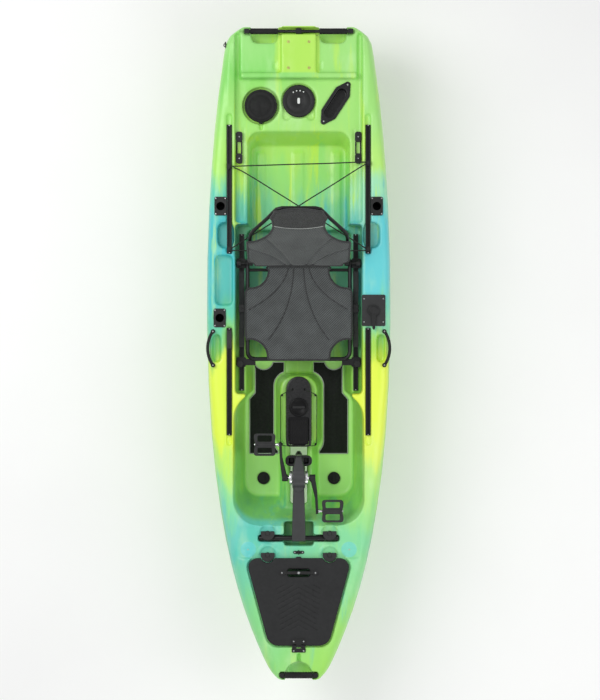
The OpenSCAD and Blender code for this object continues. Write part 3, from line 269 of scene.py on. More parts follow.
# colours of the moulding from bow (0) to stern (1): the left and right side decks, and the wells, whose
# darker colours hold painted shade of the recesses along with the marbling
LEFT_DECK = """0 #8ad67a 0.08 #86d88c 0.15 #72cfa6 0.20 #5cc8b4 0.25 #6dcdbd 0.29 #86dca0 0.33 #b4ea74
    0.37 #dbf34a 0.47 #dcf34c 0.50 #86d070 0.54 #5fc8a4 0.59 #48c0c2 0.68 #45bfc6 0.73 #62cdb0
    0.78 #a6e566 0.87 #9be072 0.92 #86d868 1 #9ae07c"""
RIGHT_DECK = """0 #a0df58 0.10 #9cdf6c 0.16 #8bdb90 0.22 #84d99c 0.27 #98e088 0.32 #b4e87a 0.36 #dcf360
    0.40 #e2f54e 0.47 #dff34a 0.51 #a2d84a 0.55 #7fd6a6 0.60 #62cdd2 0.68 #58c9d0 0.74 #9be0b4
    0.78 #b4ea74 0.87 #9fe078 1 #a2e27e"""
SHADED_WELLS = """0 #7fcf5c 0.14 #4fb070 0.20 #3d9f88 0.25 #62b866 0.29 #7cd35c 0.36 #86cf48 0.42 #88cc3c
    0.48 #78bf34 0.52 #4fae5e 0.60 #35a592 0.67 #3aa78c 0.72 #62cb98 0.78 #8ddc6a 0.82 #a6e054
    0.88 #a8e368 0.94 #b2e75e 1 #a8e470"""


def hull_plastic():
    """Rotomoulded plastic: colours that run into each other along the boat, with streaks along it."""
    paint = Paint("marbled_hull")
    along = paint.axis((0, 1, 0))
    across = paint.axis((1, 0, 0))
    drift = paint.math("SUBTRACT", paint.noise(3.4, 3, (1, 0.5, 0.6)), 0.5)
    streak = paint.math("SUBTRACT", paint.noise(13.0, 4, (1, 0.14, 0.5), 0.6), 0.5)
    shifted = paint.math("ADD", along, paint.math("MULTIPLY", drift, 0.34))
    shifted = paint.math("ADD", shifted, paint.math("MULTIPLY", streak, 0.46))
    share = paint.grey(shifted, BOW_Y, STERN_Y)
    lime, cyan, pale = linear("#c4ee3c"), linear("#3fbccb"), linear("#cdf4b8")
    wavy = paint.math("ADD", across, paint.math("MULTIPLY", streak, 0.3))
    side = paint.grey(wavy, -0.16, 0.16, smooth=True)
    decks = paint.mix(side, paint.ramp(share, stops(LEFT_DECK)), paint.ramp(share, stops(RIGHT_DECK)))
    # painted shade: sunk surfaces take the darker colours of the wells, lifted a little towards pale as
    # painted light
    sunk_shade_mask = paint.grey(paint.axis((0, 0, 1)), 0.318, 0.262, smooth=True)
    wells = paint.mix(0.16, paint.ramp(share, stops(SHADED_WELLS)), linear("#c8ff96"))
    body = paint.mix(sunk_shade_mask, decks, wells)
    # streaks of the neighbouring colours, drawn out along the boat
    lime_streak = paint.grey(paint.noise(17.0, 5, (1, 0.10, 0.6), 0.62, (2, 0, 1)), 0.55, 0.68, smooth=True)
    cyan_streak = paint.grey(paint.noise(12.0, 5, (1, 0.16, 0.6), 0.6, (5, 3, 2)), 0.55, 0.70, smooth=True)
    pale_cloud = paint.grey(paint.noise(9.0, 4, (1, 0.4, 0.6), 0.55, (1, 7, 4)), 0.52, 0.78, smooth=True)
    lime_zone = paint.ramp(share, levels("0 0.35 0.14 0.12 0.3 0.3 0.5 0.35 0.6 0.3 0.72 0.75 1 0.4"))
    cyan_zone = paint.ramp(share, levels("0 0.2 0.16 0.45 0.28 0.3 0.34 0 0.47 0 0.55 0.6 0.73 0.7 0.8 0"))
    body = paint.mix(paint.math("MULTIPLY", lime_streak, lime_zone), body, lime)
    body = paint.mix(paint.math("MULTIPLY", cyan_streak, cyan_zone), body, cyan)
    body = paint.mix(paint.math("MULTIPLY", pale_cloud, 0.34), body, pale)
    # painted light on the well floors, lifted paler against the shade that falls there; then the lime stern
    # plate and the two cyan round pads
    floor = paint.grey(paint.axis((0, 0, 1)), 0.120, 0.099, smooth=True)
    body = paint.mix(paint.math("MULTIPLY", floor, 0.75), body, linear("#bdfa8c"))
    width = paint.math("ABSOLUTE", across)
    plate = paint.math("MULTIPLY", paint.grey(width, 0.108, 0.098), paint.grey(along, 1.366, 1.376))
    body = paint.mix(paint.math("MULTIPLY", plate, 0.55), body, lime)
    beside = paint.math("POWER", paint.math("SUBTRACT", width, PAD_PLACE[0] * MM), 2)
    ahead = paint.math("POWER", paint.math("SUBTRACT", along, PAD_PLACE[1] * MM), 2)
    disc = paint.grey(paint.math("ADD", beside, ahead), 0.0016, 0.0013)
    body = paint.mix(paint.math("MULTIPLY", disc, 0.45), body, linear("#62cfdb"))
    paint.set("Base Color", body)
    paint.rough(0.30, 0.44, 40)
    paint.set("Specular IOR Level", 0.45)
    paint.set("Coat Weight", 0.12)
    paint.set("Coat Roughness", 0.3)
    paint.bump(paint.noise(420, 3), 0.00025, 0.5)
    paint.bump(paint.noise(34, 3), 0.0012, 0.22)
    return paint.material


def plastic(name, base, low=0.42, high=0.58, grain=700, variation=0.18, shine=0.36):
    paint = Paint(name)
    paint.colour(base, variation, 16)
    paint.rough(low, high, 60)
    paint.set("Specular IOR Level", shine)
    paint.bump(paint.noise(grain, 3), 0.0002, 0.5)
    return paint.material


def metal(name, base, low, high, brushed=(1, 1, 1), grain=260, metallic=1.0):
    """Metal; brushed stretches its grain where a number is below 1."""
    paint = Paint(name)
    paint.colour(base, 0.10, 22)
    paint.rough(low, high, grain, brushed)
    paint.set("Metallic", metallic)
    paint.bump(paint.noise(grain, 3, brushed), 0.00012, 0.5)
    return paint.material


def rubber(name, base):
    paint = Paint(name)
    paint.colour(base, 0.2, 24)
    paint.rough(0.62, 0.8, 40)
    paint.set("Specular IOR Level", 0.3)
    paint.bump(paint.noise(900, 2), 0.00025, 0.6)
    return paint.material


def foam(name):
    """Closed-cell foam with brushed fine grooves along the boat."""
    paint = Paint(name)
    paint.colour(linear("#191b1a"), 0.22, 30, (1, 0.2, 1))
    paint.rough(0.72, 0.9, 80)
    paint.set("Specular IOR Level", 0.25)
    across = paint.math("MULTIPLY", paint.axis((1, 0, 0)), 2 * math.pi / FOAM_GROOVE)
    paint.bump(paint.math("SINE", across), 0.0006, 0.6)
    paint.bump(paint.noise(800, 3), 0.0003, 0.6)
    return paint.material


def mesh_fabric(name, up):
    """Open diamond weave: two diagonal sets of threads, with up the way up the cloth."""
    paint = Paint(name)
    across, rise = paint.axis((1, 0, 0)), paint.axis(up)
    turn = 2 * math.pi / MESH_PITCH
    one, two = paint.math("ADD", across, rise), paint.math("SUBTRACT", across, rise)
    first = paint.math("SINE", paint.math("MULTIPLY", one, turn))
    second = paint.math("SINE", paint.math("MULTIPLY", two, turn * COARSE_SHARE))
    weave = paint.math("MULTIPLY", paint.math("ADD", first, second), 0.5)
    holes = paint.grey(weave, -0.45, 0.35, smooth=True)
    cloud = paint.grey(paint.noise(14, 4), 0.3, 0.7)
    thread = paint.mix(cloud, linear("#4c5050"), linear("#5e6363"))
    paint.set("Base Color", paint.mix(holes, linear("#1d1f20"), thread))
    paint.rough(0.62, 0.8, 120)
    paint.set("Sheen Weight", 0.25)
    paint.set("Sheen Roughness", 0.5)
    paint.bump(weave, 0.0011, 0.8)
    paint.bump(paint.noise(1500, 2), 0.0003, 0.5)
    return paint.material


def webbing(name, base):
    """Woven tape that runs along the boat: fine ribs across it and rows along it."""
    paint = Paint(name)
    paint.colour(base, 0.3, 60)
    paint.rough(0.6, 0.78, 150)
    paint.set("Sheen Weight", 0.2)
    ribs = paint.math("SINE", paint.math("MULTIPLY", paint.axis((0, 1, 0)), 2 * math.pi / TAPE_RIB))
    rows = paint.math("SINE", paint.math("MULTIPLY", paint.axis((1, 0, 0)), 2 * math.pi / TAPE_ROW))
    paint.bump(paint.math("MULTIPLY", ribs, rows), 0.0006, 0.8)
    return paint.material


def braid(name, base, fleck):
    """Braided cord: crossing strands with a fleck."""
    paint = Paint(name)
    turn = 2 * math.pi / BRAID_PITCH
    one = paint.math("SINE", paint.math("MULTIPLY", paint.axis((1, 1, 0.6)), turn))
    two = paint.math("SINE", paint.math("MULTIPLY", paint.axis((1, -1, 0.6)), turn))
    strands = paint.math("MULTIPLY", one, two)
    paint.set("Base Color", paint.mix(paint.grey(strands, 0.45, 0.75), base, fleck))
    paint.rough(0.6, 0.75, 200)
    paint.bump(strands, 0.0007, 0.8)
    return paint.material


def make_finishes():
    black = (0.0085, 0.0088, 0.009)
    return {
        "hull": hull_plastic(),
        "black": plastic("black_plastic", black),
        "satin": plastic("satin_black_plastic", (0.0105, 0.011, 0.0115), 0.5, 0.64, 420),
        "grey": plastic("dark_grey_plastic", (0.021, 0.022, 0.0225), 0.46, 0.6, 520),
        "lid": plastic("lid_plastic", linear("#1c1d1e"), 0.56, 0.7, 300, 0.1),
        # darker plastic for the lid's chevron grooves: painted shade
        "groove_shade": plastic("lid_groove_shade", (0.006, 0.006, 0.006), 0.7, 0.8, 500),
        "gloss": plastic("gloss_black_plastic", (0.012, 0.0125, 0.013), 0.22, 0.34, 500),
        # darker black for the console's lid and cap: painted shade inside the console's rim
        "shaded_black": plastic("shaded_black_plastic", (0.005, 0.005, 0.0055), 0.36, 0.5, 420, 0.18, 0.16),
        "rubber": rubber("soft_rubber", (0.011, 0.0115, 0.0115)),
        "seal": rubber("seal_rubber", (0.012, 0.012, 0.012)),
        "foam": foam("brushed_foam"),
        "foam_edge": plastic("foam_edge", linear("#b4b9b4"), 0.7, 0.85, 300, 0.12),
        "anodised": metal("black_anodised", (0.011, 0.0115, 0.012), 0.30, 0.44, (1, 0.05, 1), 260, 0.5),
        "cast": metal("powder_coated_casting", (0.040, 0.042, 0.043), 0.42, 0.58, (1, 1, 1), 420, 0.2),
        "steel": metal("brushed_steel", (0.62, 0.63, 0.64), 0.2, 0.34, (0.1, 1, 1)),
        "bright": metal("machined_aluminium", (0.74, 0.75, 0.76), 0.2, 0.32, (1, 1, 0.2)),
        "brass": metal("brass_insert", (0.68, 0.46, 0.26), 0.25, 0.4),
        "seat_mesh": mesh_fabric("seat_mesh", (0, 1, 0)),
        "back_mesh": mesh_fabric("back_mesh", (0, math.sin(TILT), math.cos(TILT))),
        "webbing": webbing("black_webbing", (0.018, 0.019, 0.02)),
        "cord": braid("bungee_braid", (0.010, 0.012, 0.011), (0.05, 0.06, 0.05)),
        "cable": rubber("cable_jacket", (0.03, 0.03, 0.031)),
        "white": plastic("white_mark", (0.72, 0.74, 0.73), 0.4, 0.55, 400, 0.05),
    }


# ---------------------------------------------------------------- shape tools


def finished(name, data, finish):
    """New object from a mesh, in the scene, with one finish."""
    data.name = name
    data.materials.clear()
    data.materials.append(FINISH[finish])
    shade_smooth(data)
    made = bpy.data.objects.new(name, data)
    bpy.context.scene.collection.objects.link(made)
    return made


def applied(piece):
    """The piece with its modifiers applied."""
    graph = bpy.context.evaluated_depsgraph_get()
    data = bpy.data.meshes.new_from_object(piece.evaluated_get(graph))
    old = piece.data
    piece.modifiers.clear()
    piece.data = data
    bpy.data.meshes.remove(old)
    return piece


def welded(node):
    """Copy of a CAD node's mesh with its split vertices joined."""
    bm = bmesh.new()
    bm.from_mesh(NODES[node].data)
    bmesh.ops.remove_doubles(bm, verts=bm.verts, dist=0.00001)
    return bm


def as_mesh(bm, name):
    data = bpy.data.meshes.new(name)
    bm.to_mesh(data)
    bm.free()
    return data


def shade_smooth(data):
    data.polygons.foreach_set("use_smooth", [True] * len(data.polygons))


def calm(piece, factor, rounds):
    smooth = piece.modifiers.new("calm", "SMOOTH")
    smooth.factor = factor
    smooth.iterations = rounds


def thin(piece, share):
    """Keeps that share of the piece's faces."""
    decimate = piece.modifiers.new("thin", "DECIMATE")
    decimate.ratio = share
    applied(piece)


def skin(piece, voxel, rounds):
    """Voxel skin over the piece, smoothed to round its edges."""
    remesh = piece.modifiers.new("skin", "REMESH")
    remesh.mode = "VOXEL"
    remesh.voxel_size = voxel
    calm(piece, 0.5, rounds)
    applied(piece)
    shade_smooth(piece.data)


def points_of(data):
    co = np.empty(len(data.vertices) * 3)
    data.vertices.foreach_get("co", co)
    return co.reshape(-1, 3)


def normals_of(data):
    normals = np.empty(len(data.vertices) * 3)
    data.vertices.foreach_get("normal", normals)
    return normals.reshape(-1, 3)


def put_points(data, co):
    data.vertices.foreach_set("co", np.ascontiguousarray(co, dtype=np.float32).ravel())
    data.update()


def step(value, low, high):
    """Smooth step from 0 at low to 1 at high."""
    t = np.clip((value - low) / (high - low), 0, 1)
    return t * t * (3 - 2 * t)


def to_line(x, y, line):
    """Distance of points to a polyline."""
    best = np.full(len(x), 1e9)
    for (ax, ay), (bx, by) in zip(line[:-1], line[1:]):
        dx, dy = bx - ax, by - ay
        t = np.clip(((x - ax) * dx + (y - ay) * dy) / max(dx * dx + dy * dy, 1e-12), 0, 1)
        best = np.minimum(best, np.hypot(x - ax - t * dx, y - ay - t * dy))
    return best


def moulded(node, name, voxel, rounds, finish, keep=1.0, shape=None):
    """Replaces a CAD node with a rounded skin of it; shape moves its points for grooves and swells."""
    piece = finished(name, as_mesh(welded(node), node), finish)
    skin(piece, voxel, rounds)
    if shape:
        put_points(piece.data, shape(points_of(piece.data), normals_of(piece.data)))
    if keep < 1:
        thin(piece, keep)
    shade_smooth(piece.data)
    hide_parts(node)
    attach(piece, BODY_OF[node])
    return piece


def soften(node, finish, width):
    """Finish for a CAD node that stays, with its sharp edges broken."""
    piece = NODES[node]
    piece.data.materials.clear()
    piece.data.materials.append(FINISH[finish])
    weld = piece.modifiers.new("weld", "WELD")
    weld.merge_threshold = 0.00002
    bevel = piece.modifiers.new("edges", "BEVEL")
    bevel.width = width * MM
    bevel.segments = 2
    bevel.limit_method = "ANGLE"
    bevel.angle_limit = SHARP


def tube(name, points, radius, finish, closed=False, flat=1.0):
    """Round or flattened tube along points, in metres."""
    curve = bpy.data.curves.new(name, "CURVE")
    curve.dimensions = "3D"
    curve.bevel_depth = radius
    curve.bevel_resolution = 5
    curve.use_fill_caps = not closed
    spline = curve.splines.new("POLY")
    spline.points.add(len(points) - 1)
    for target, point in zip(spline.points, points):
        target.co = (*point, 1)
    spline.use_cyclic_u = closed
    holder = bpy.data.objects.new(name + "_path", curve)
    bpy.context.scene.collection.objects.link(holder)
    graph = bpy.context.evaluated_depsgraph_get()
    data = bpy.data.meshes.new_from_object(holder.evaluated_get(graph))
    bpy.data.objects.remove(holder)
    piece = finished(name, data, finish)
    if flat != 1.0:
        co = points_of(piece.data)
        middle = np.array(points)[:, 2].mean()
        co[:, 2] = middle + (co[:, 2] - middle) * flat
        put_points(piece.data, co)
    return piece


def smooth_route(points, per_span):
    """Catmull-Rom points through a route."""
    pts = [Vector(p) for p in points]
    pts = [2 * pts[0] - pts[1]] + pts + [2 * pts[-1] - pts[-2]]
    out = []
    for a, b, c, d in zip(pts[:-3], pts[1:-2], pts[2:-1], pts[3:]):
        for i in range(per_span):
            t = i / per_span
            out.append(0.5 * ((2 * b) + (c - a) * t + (2 * a - 5 * b + 4 * c - d) * t * t
                              + (3 * b - a - 3 * c + d) * t ** 3))
    out.append(pts[-2])
    return [tuple(p) for p in out]


def joined(name, parts):
    """One object from several, each with its own finish."""
    bm = bmesh.new()
    slots = []
    for part in parts:
        data = part.data
        first = len(bm.faces)
        data.transform(part.matrix_world)
        bm.from_mesh(data)
        bm.faces.ensure_lookup_table()
        material = data.materials[0]
        if material not in slots:
            slots.append(material)
        for face in bm.faces[first:]:
            face.material_index = slots.index(material)
        bpy.data.objects.remove(part)
    made = bpy.data.meshes.new(name)
    bm.to_mesh(made)
    bm.free()
    for material in slots:
        made.materials.append(material)
    piece = bpy.data.objects.new(name, made)
    bpy.context.scene.collection.objects.link(piece)
    return piece


def lathe(name, profile, centre, finish, steps, wobble=None):
    """Form turned about an upright axis.

    profile is (radius, height) pairs in mm; wobble(angle, radius) returns a new radius."""
    bm = bmesh.new()
    rings = []
    for radius, height in profile:
        ring = []
        for k in range(steps):
            a = 2 * math.pi * k / steps
            r = wobble(a, radius) if wobble else radius
            spot = (r * math.cos(a), r * math.sin(a), height)
            ring.append(bm.verts.new(Vector(spot) * MM + Vector(centre)))
        rings.append(ring)
    for lower, upper in zip(rings[:-1], rings[1:]):
        for k in range(steps):
            n = (k + 1) % steps
            bm.faces.new((lower[k], lower[n], upper[n], upper[k]))
    bm.faces.new(list(reversed(rings[0])))
    bm.faces.new(rings[-1])
    bmesh.ops.recalc_face_normals(bm, faces=bm.faces)
    return finished(name, as_mesh(bm, name), finish)


def centre_of(node):
    low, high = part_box(node)
    return (low + high) / 2


def prism(name, outline, low, high, finish):
    """Flat plate with that outline, in metres, between two heights."""
    bm = bmesh.new()
    face = bm.faces.new([bm.verts.new((x, y, low)) for x, y in outline])
    made = bmesh.ops.extrude_face_region(bm, geom=[face])
    top = [v for v in made["geom"] if isinstance(v, bmesh.types.BMVert)]
    bmesh.ops.translate(bm, verts=top, vec=(0, 0, high - low))
    bmesh.ops.recalc_face_normals(bm, faces=bm.faces)
    return finished(name, as_mesh(bm, name), finish)


# ---------------------------------------------------------------- hull


def outer_skin():
    """Outside of the hull: the mouths of its three small holes are closed and the inner wall is left out."""
    bm = welded("hull_shell")
    drain = centre_of("drain_plug")
    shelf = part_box("rudder")[1].z
    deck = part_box("steering_plate")[0].z
    # each hole: its axis, a bit more than its radius, and where it lies along its axis
    holes = [((STEER_X, PIVOT_Y), (0, 1), 0.0123, 2, deck - 0.03, deck + 0.03),
             ((0, RUDDER_Y), (0, 1), 0.0083, 2, shelf - 0.06, shelf),
             ((drain.x, drain.z), (0, 2), 0.0098, 1, STERN_Y - 0.04, STERN_Y)]
    doomed = []
    for face in bm.faces:
        for (a, b), (i, j), radius, k, low, high in holes:
            if all(math.hypot(v.co[i] - a, v.co[j] - b) < radius and low < v.co[k] < high
                   for v in face.verts):
                doomed.append(face)
                break
    bmesh.ops.delete(bm, geom=doomed, context="FACES")
    rims = [e for e in bm.edges if e.is_boundary]
    bmesh.ops.holes_fill(bm, edges=rims, sides=0)
    # keep what hangs together with the widest point
    start = max(bm.verts, key=lambda v: abs(v.co.x))
    seen, queue = {start}, [start]
    while queue:
        for edge in queue.pop().link_edges:
            for v in edge.verts:
                if v not in seen:
                    seen.add(v)
                    queue.append(v)
    bmesh.ops.delete(bm, geom=[v for v in bm.verts if v not in seen], context="VERTS")
    bmesh.ops.recalc_face_normals(bm, faces=bm.faces)
    return as_mesh(bm, "hull_outside")


STEER_X = centre_of("steering_plate").x
PIVOT_Y = centre_of("steering_plate").y - 0.001
RUDDER_Y = 1.43
TANK_RIBS = ((-210, -170), (-30, 25), (167, 210))
PAD_PLACE = (247, -972)
PAD_R = 38.5
LATCH_X = 152
LATCH_YS = (-892, -998)
COLLAR_R = 47            # moulded collar behind each latch
TANK_FLOOR_Z = 180
AFT_DECK_Z = 300


def hull_details(co, normals):
    """Moulded detail: ribs in the tank well, round pads, collars behind the latches, drain notches."""
    x, y, z = (co / MM).T
    up = step(normals[:, 2], 0.55, 0.85)
    lift = np.zeros(len(co))
    floor = (np.abs(z - TANK_FLOOR_Z) < 12) & (np.abs(x) < 236) & (y > 600) & (y < 1040)
    for low, high in TANK_RIBS:
        band = step(x, low - 4, low + 4) * (1 - step(x, high - 4, high + 4)) * (1 - step(y, 985, 1012))
        lift += floor * band * 6
    shelf = (np.abs(z - AFT_DECK_Z) < 12) & (y > 640) & (y < 1100)
    for s in SIDES:
        lift -= shelf * 3 * (1 - step(np.abs(x - s * 272), 2, 7)) * step(y, 650, 690)
        near = np.hypot(x - s * PAD_PLACE[0], y - PAD_PLACE[1])
        on_pad = (z > 325) & (z < 350)
        lift += on_pad * 3.2 * (1 - step(near, PAD_R - 3, PAD_R + 2))
        for a in range(4):
            px = x - s * PAD_PLACE[0] - 24 * math.cos(a * math.pi / 2)
            py = y - PAD_PLACE[1] - 24 * math.sin(a * math.pi / 2)
            long, wide = (px, py) if a % 2 == 0 else (py, px)
            lift -= on_pad * 3.5 * (1 - step(np.abs(long), 6, 11)) * (1 - step(np.abs(wide), 2, 6))
        for latch_y in LATCH_YS:
            ring = np.hypot(x - s * LATCH_X, y - latch_y)
            aft = step(y, latch_y - 6, latch_y + 16)
            collar = (1 - step(np.abs(ring - COLLAR_R), 3, 9))
            lift += on_pad * aft * collar * 6
        # drain notches at the stern panels and ridges outboard of the gutters
        notch = (1 - step(np.abs(x - s * 112 + 5), 6, 12)) * step(y, 1380, 1392) * (1 - step(y, 1424, 1430))
        lift -= (z > 305) * (z < 330) * notch * 5
        ridge = (1 - step(np.abs(np.abs(x) - 344), 6, 14)) * step(y, 1190, 1230) * (1 - step(y, 1500, 1560))
        lift += (z > 325) * ridge * 1.2
    moved = co.copy()
    moved[:, 2] += lift * up * MM
    return moved


def make_hull():
    piece = finished("hull_moulding", outer_skin(), "hull")
    skin(piece, 0.0055, 7)
    put_points(piece.data, hull_details(points_of(piece.data), normals_of(piece.data)))
    calm(piece, 0.4, 2)
    thin(piece, 0.6)
    shade_smooth(piece.data)
    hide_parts("hull_shell")
    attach(piece, "hull")


# ---------------------------------------------------------------- seat

TILT = math.radians(32)
HINGE = (436, 306)       # backrest hinge: along the boat and above the keel
BACK_LEN = 470
CLOTH_LIE = 9            # the cloth lies on the front of the backrest's tube
CHANNEL_W = 6.0
SIDE_TUBE = (254, 281)   # the seat's side tubes: from the middle, and above the keel
SLEEVE_R = 13.4


def arc(cx, cy, r, start, end, steps=12):
    """Points along an arc, angles in degrees."""
    return [(cx + r * math.cos(math.radians(start + (end - start) * i / steps)),
             cy + r * math.sin(math.radians(start + (end - start) * i / steps))) for i in range(steps + 1)]


def mirrored(half):
    """Closed outline from its right half, which runs from the middle to the middle."""
    return half + [(-x, y) for x, y in reversed(half) if abs(x) > 0.01]


def curved(a, b, c):
    """Points of a curve from a to c that bends towards b."""
    return [tuple((1 - t) ** 2 * a[k] + 2 * t * (1 - t) * b[k] + t * t * c[k] for k in (0, 1))
            for t in (i / 10 for i in range(11))]


def both_sides(lines):
    return lines + [[(-x, y) for x, y in line] for line in lines]


def panel(name, outline, thick, voxel, finish, relief, place):
    """Soft panel: a flat plate skinned and rounded, raised by relief(x, y, edge distance), then put in place.

    outline is in mm in the panel's own plane; place maps panel coordinates to the row frame."""
    plate = prism(name, [(x * MM, y * MM) for x, y in outline], 0, thick * MM, finish)
    skin(plate, voxel * MM, 4)
    co = points_of(plate.data) / MM
    edge = to_line(co[:, 0], co[:, 1], outline + outline[:1])
    middle = thick / 2
    top = step(co[:, 2], middle - 1, middle + 1)
    rise, dip = relief(co[:, 0], co[:, 1], edge)
    pinch = 1 - 0.45 * (1 - step(edge, 0, 16))
    height = middle + (co[:, 2] - middle) * pinch + rise - top * dip + (1 - top) * dip * 0.4
    put_points(plate.data, place(co[:, 0], co[:, 1], height) * MM)
    calm(plate, 0.5, 1)
    applied(plate)
    shade_smooth(plate.data)
    return plate


def pan_outline():
    front = arc(245, -30, 92, 86, 180, 14)
    rear = arc(240, 404, 92, 180, 262, 14)
    half = [(0, -41), (60, -43), (140, -43)] + [p for p in reversed(front) if p[1] > -43]
    half += [(261, 66), (263, 180), (261, 300)]
    half += [p for p in reversed(rear) if p[0] < 246]
    half += [(148, 421), (0, 421)]
    return mirrored(half)


PAN_CHANNELS = both_sides([
    curved((51, 410), (78, 290), (258, 200)), curved((24, 410), (32, 200), (150, 58))])


def pan_relief(x, y, edge):
    hollow = -11 * (1 - np.abs(x / 255) ** 2.6) * (1 - np.abs((y - 188) / 236) ** 3)
    line = np.min([to_line(x, y, c) for c in PAN_CHANNELS], axis=0)
    quilt = 2.2 * (1 - np.exp(-(line / 26) ** 2))
    groove = 5.0 * np.exp(-(line / CHANNEL_W) ** 2)
    waves = 0.5 * np.sin(x / 31 + y / 47) + 0.4 * np.sin(y / 23 - x / 61)
    return hollow + quilt + waves * step(edge, 10, 40), groove


def make_seat_pan():
    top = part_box("seat_sling")[1].z / MM

    def place(x, y, height):
        return np.stack([x, y, top - 11 + height], axis=1)

    outline = pan_outline()
    pan = panel("seat_pan", outline, 8, 3.6, "seat_mesh", pan_relief, place)
    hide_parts("seat_sling")
    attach(pan, "seat")
    ox, oy = np.array(outline).T
    rise, _ = pan_relief(ox, oy, np.zeros(len(ox)))
    rim = [(px * MM * 0.993, (188 + (py - 188) * 0.992) * MM, (top - 6.5 + r) * MM)
           for px, py, r in zip(ox, oy, rise)]
    piping = tube("seat_pan_piping", smooth_route(rim + rim[:1], 3)[:-1], 5.2 * MM, "webbing", True, 0.8)
    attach(piping, "seat")
    for number, channel in enumerate(PAN_CHANNELS):
        cx, cy = np.array(channel).T
        lie, _ = pan_relief(cx, cy, np.full(len(cx), 60))
        seam = [(px * MM, py * MM, (top - 6.6 + r) * MM) for px, py, r in zip(cx, cy, lie)]
        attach(tube("seat_pan_seam_%d" % (number + 1), seam, 1.6 * MM, "webbing"), "seat")
    # sleeves of seat mesh that hold the pan's sides to the tubes
    for s in SIDES:
        sleeve = tube("pan_sleeve_" + ("right" if s > 0 else "left"),
                      [(s * SIDE_TUBE[0] * MM, y * MM, SIDE_TUBE[1] * MM) for y in range(74, 300, 6)],
                      SLEEVE_R * MM, "seat_mesh")
        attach(sleeve, "seat")


def back_place(x, s, height):
    """Panel coordinates of the backrest to the row frame, in mm; height runs towards the sitter."""
    sin, cos = math.sin(TILT), math.cos(TILT)
    return np.stack([x, HINGE[0] + s * sin - height * cos, HINGE[1] + s * cos + height * sin], axis=1)


def back_outline():
    concave = arc(268, 345, 146, 262, 158, 18)
    concave = [p for p in concave if p[0] < 251]
    half = [(0, 5), (120, 4), (206, 4), (216, 12), (224, 28), (238, 36), (247, 50), (249, 120), (250, 190)]
    half += concave + [(118, 430), (113, 446)]
    half += [(x, 446 + 22 * (1 - (x / 113) ** 2)) for x in (90, 60, 30, 0)]
    return mirrored(half)


BACK_CHANNELS = both_sides([
    curved((36, 6), (80, 140), (176, 262)), curved((64, 6), (110, 100), (244, 150))])
TOP_PANEL_LINE = [(x, 318 + 24 * (x / 130) ** 2) for x in range(-132, 133, 12)]


def back_relief(x, s, edge):
    belly = 10 * np.sin(np.clip(s / BACK_LEN, 0, 1) * math.pi) * (1 - np.abs(x / 262) ** 3)
    hollow = -6 * np.exp(-((s - 330) / 120) ** 2) * (1 - np.abs(x / 262) ** 2)
    line = np.min([to_line(x, s, c) for c in BACK_CHANNELS], axis=0)
    seam = to_line(x, s, TOP_PANEL_LINE)
    groove = 5.0 * np.exp(-(line / CHANNEL_W) ** 2) + 2.0 * np.exp(-(seam / 4) ** 2)
    quilt = 2.0 * (1 - np.exp(-(line / 26) ** 2))
    folds = 1.1 * np.sin(x / 9 + 0.9 * np.sin(s / 40)) * step(s, 335, 380)
    return belly * 0.6 + hollow * 0.4 + quilt + folds, groove


def make_seat_back():
    def place(x, s, height):
        return back_place(x, s, CLOTH_LIE + 3 + height)

    outline = back_outline()
    back = panel("seat_back", outline, 9, 3.6, "back_mesh", back_relief, place)
    back.data.materials.append(FINISH["webbing"])
    co = points_of(back.data) / MM
    up = (co[:, 1] - HINGE[0]) * math.sin(TILT) + (co[:, 2] - HINGE[1]) * math.cos(TILT)
    plain = up > 318 + 24 * (co[:, 0] / 130) ** 2
    for face in back.data.polygons:
        if all(plain[v] for v in face.vertices):
            face.material_index = 1
    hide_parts("back_sling")
    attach(back, "backrest")
    ox, oy = np.array(outline).T
    rise, _ = back_relief(ox, oy, np.zeros(len(ox)))
    rim = [tuple(p * MM) for p in back_place(ox * 0.99, 235 + (oy - 235) * 0.985, CLOTH_LIE + 7.5 + rise)]
    piping = tube("seat_back_piping", smooth_route(rim + rim[:1], 3)[:-1], 5.4 * MM, "webbing", True)
    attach(piping, "backrest")
    seam = [tuple(p * MM) for p in back_place(*np.array(TOP_PANEL_LINE).T, CLOTH_LIE + 14.5)]
    stitch = tube("seat_back_stitching", seam, 1.5 * MM, "foam_edge")
    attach(stitch, "backrest")


def strap(name, points, width, thick):
    """Flat webbing along points, as wide as it lies across the boat."""
    route = [Vector(p) for p in smooth_route(points, 6)]
    side = Vector((1, 0, 0))
    bm = bmesh.new()
    rings = []
    for i, p in enumerate(route):
        ahead = (route[min(i + 1, len(route) - 1)] - route[max(i - 1, 0)]).normalized()
        up = side.cross(ahead).normalized()
        corners = [(-0.5, -0.3), (-0.44, -0.5), (0.44, -0.5), (0.5, -0.3),
                   (0.5, 0.3), (0.44, 0.5), (-0.44, 0.5), (-0.5, 0.3)]
        rings.append([bm.verts.new(p + side * a * width * MM + up * b * thick * MM) for a, b in corners])
    for one, two in zip(rings[:-1], rings[1:]):
        for k in range(8):
            n = (k + 1) % 8
            bm.faces.new((one[k], one[n], two[n], two[k]))
    bm.faces.new(list(reversed(rings[0])))
    bm.faces.new(rings[-1])
    bmesh.ops.recalc_face_normals(bm, faces=bm.faces)
    return finished(name, as_mesh(bm, name), "webbing")


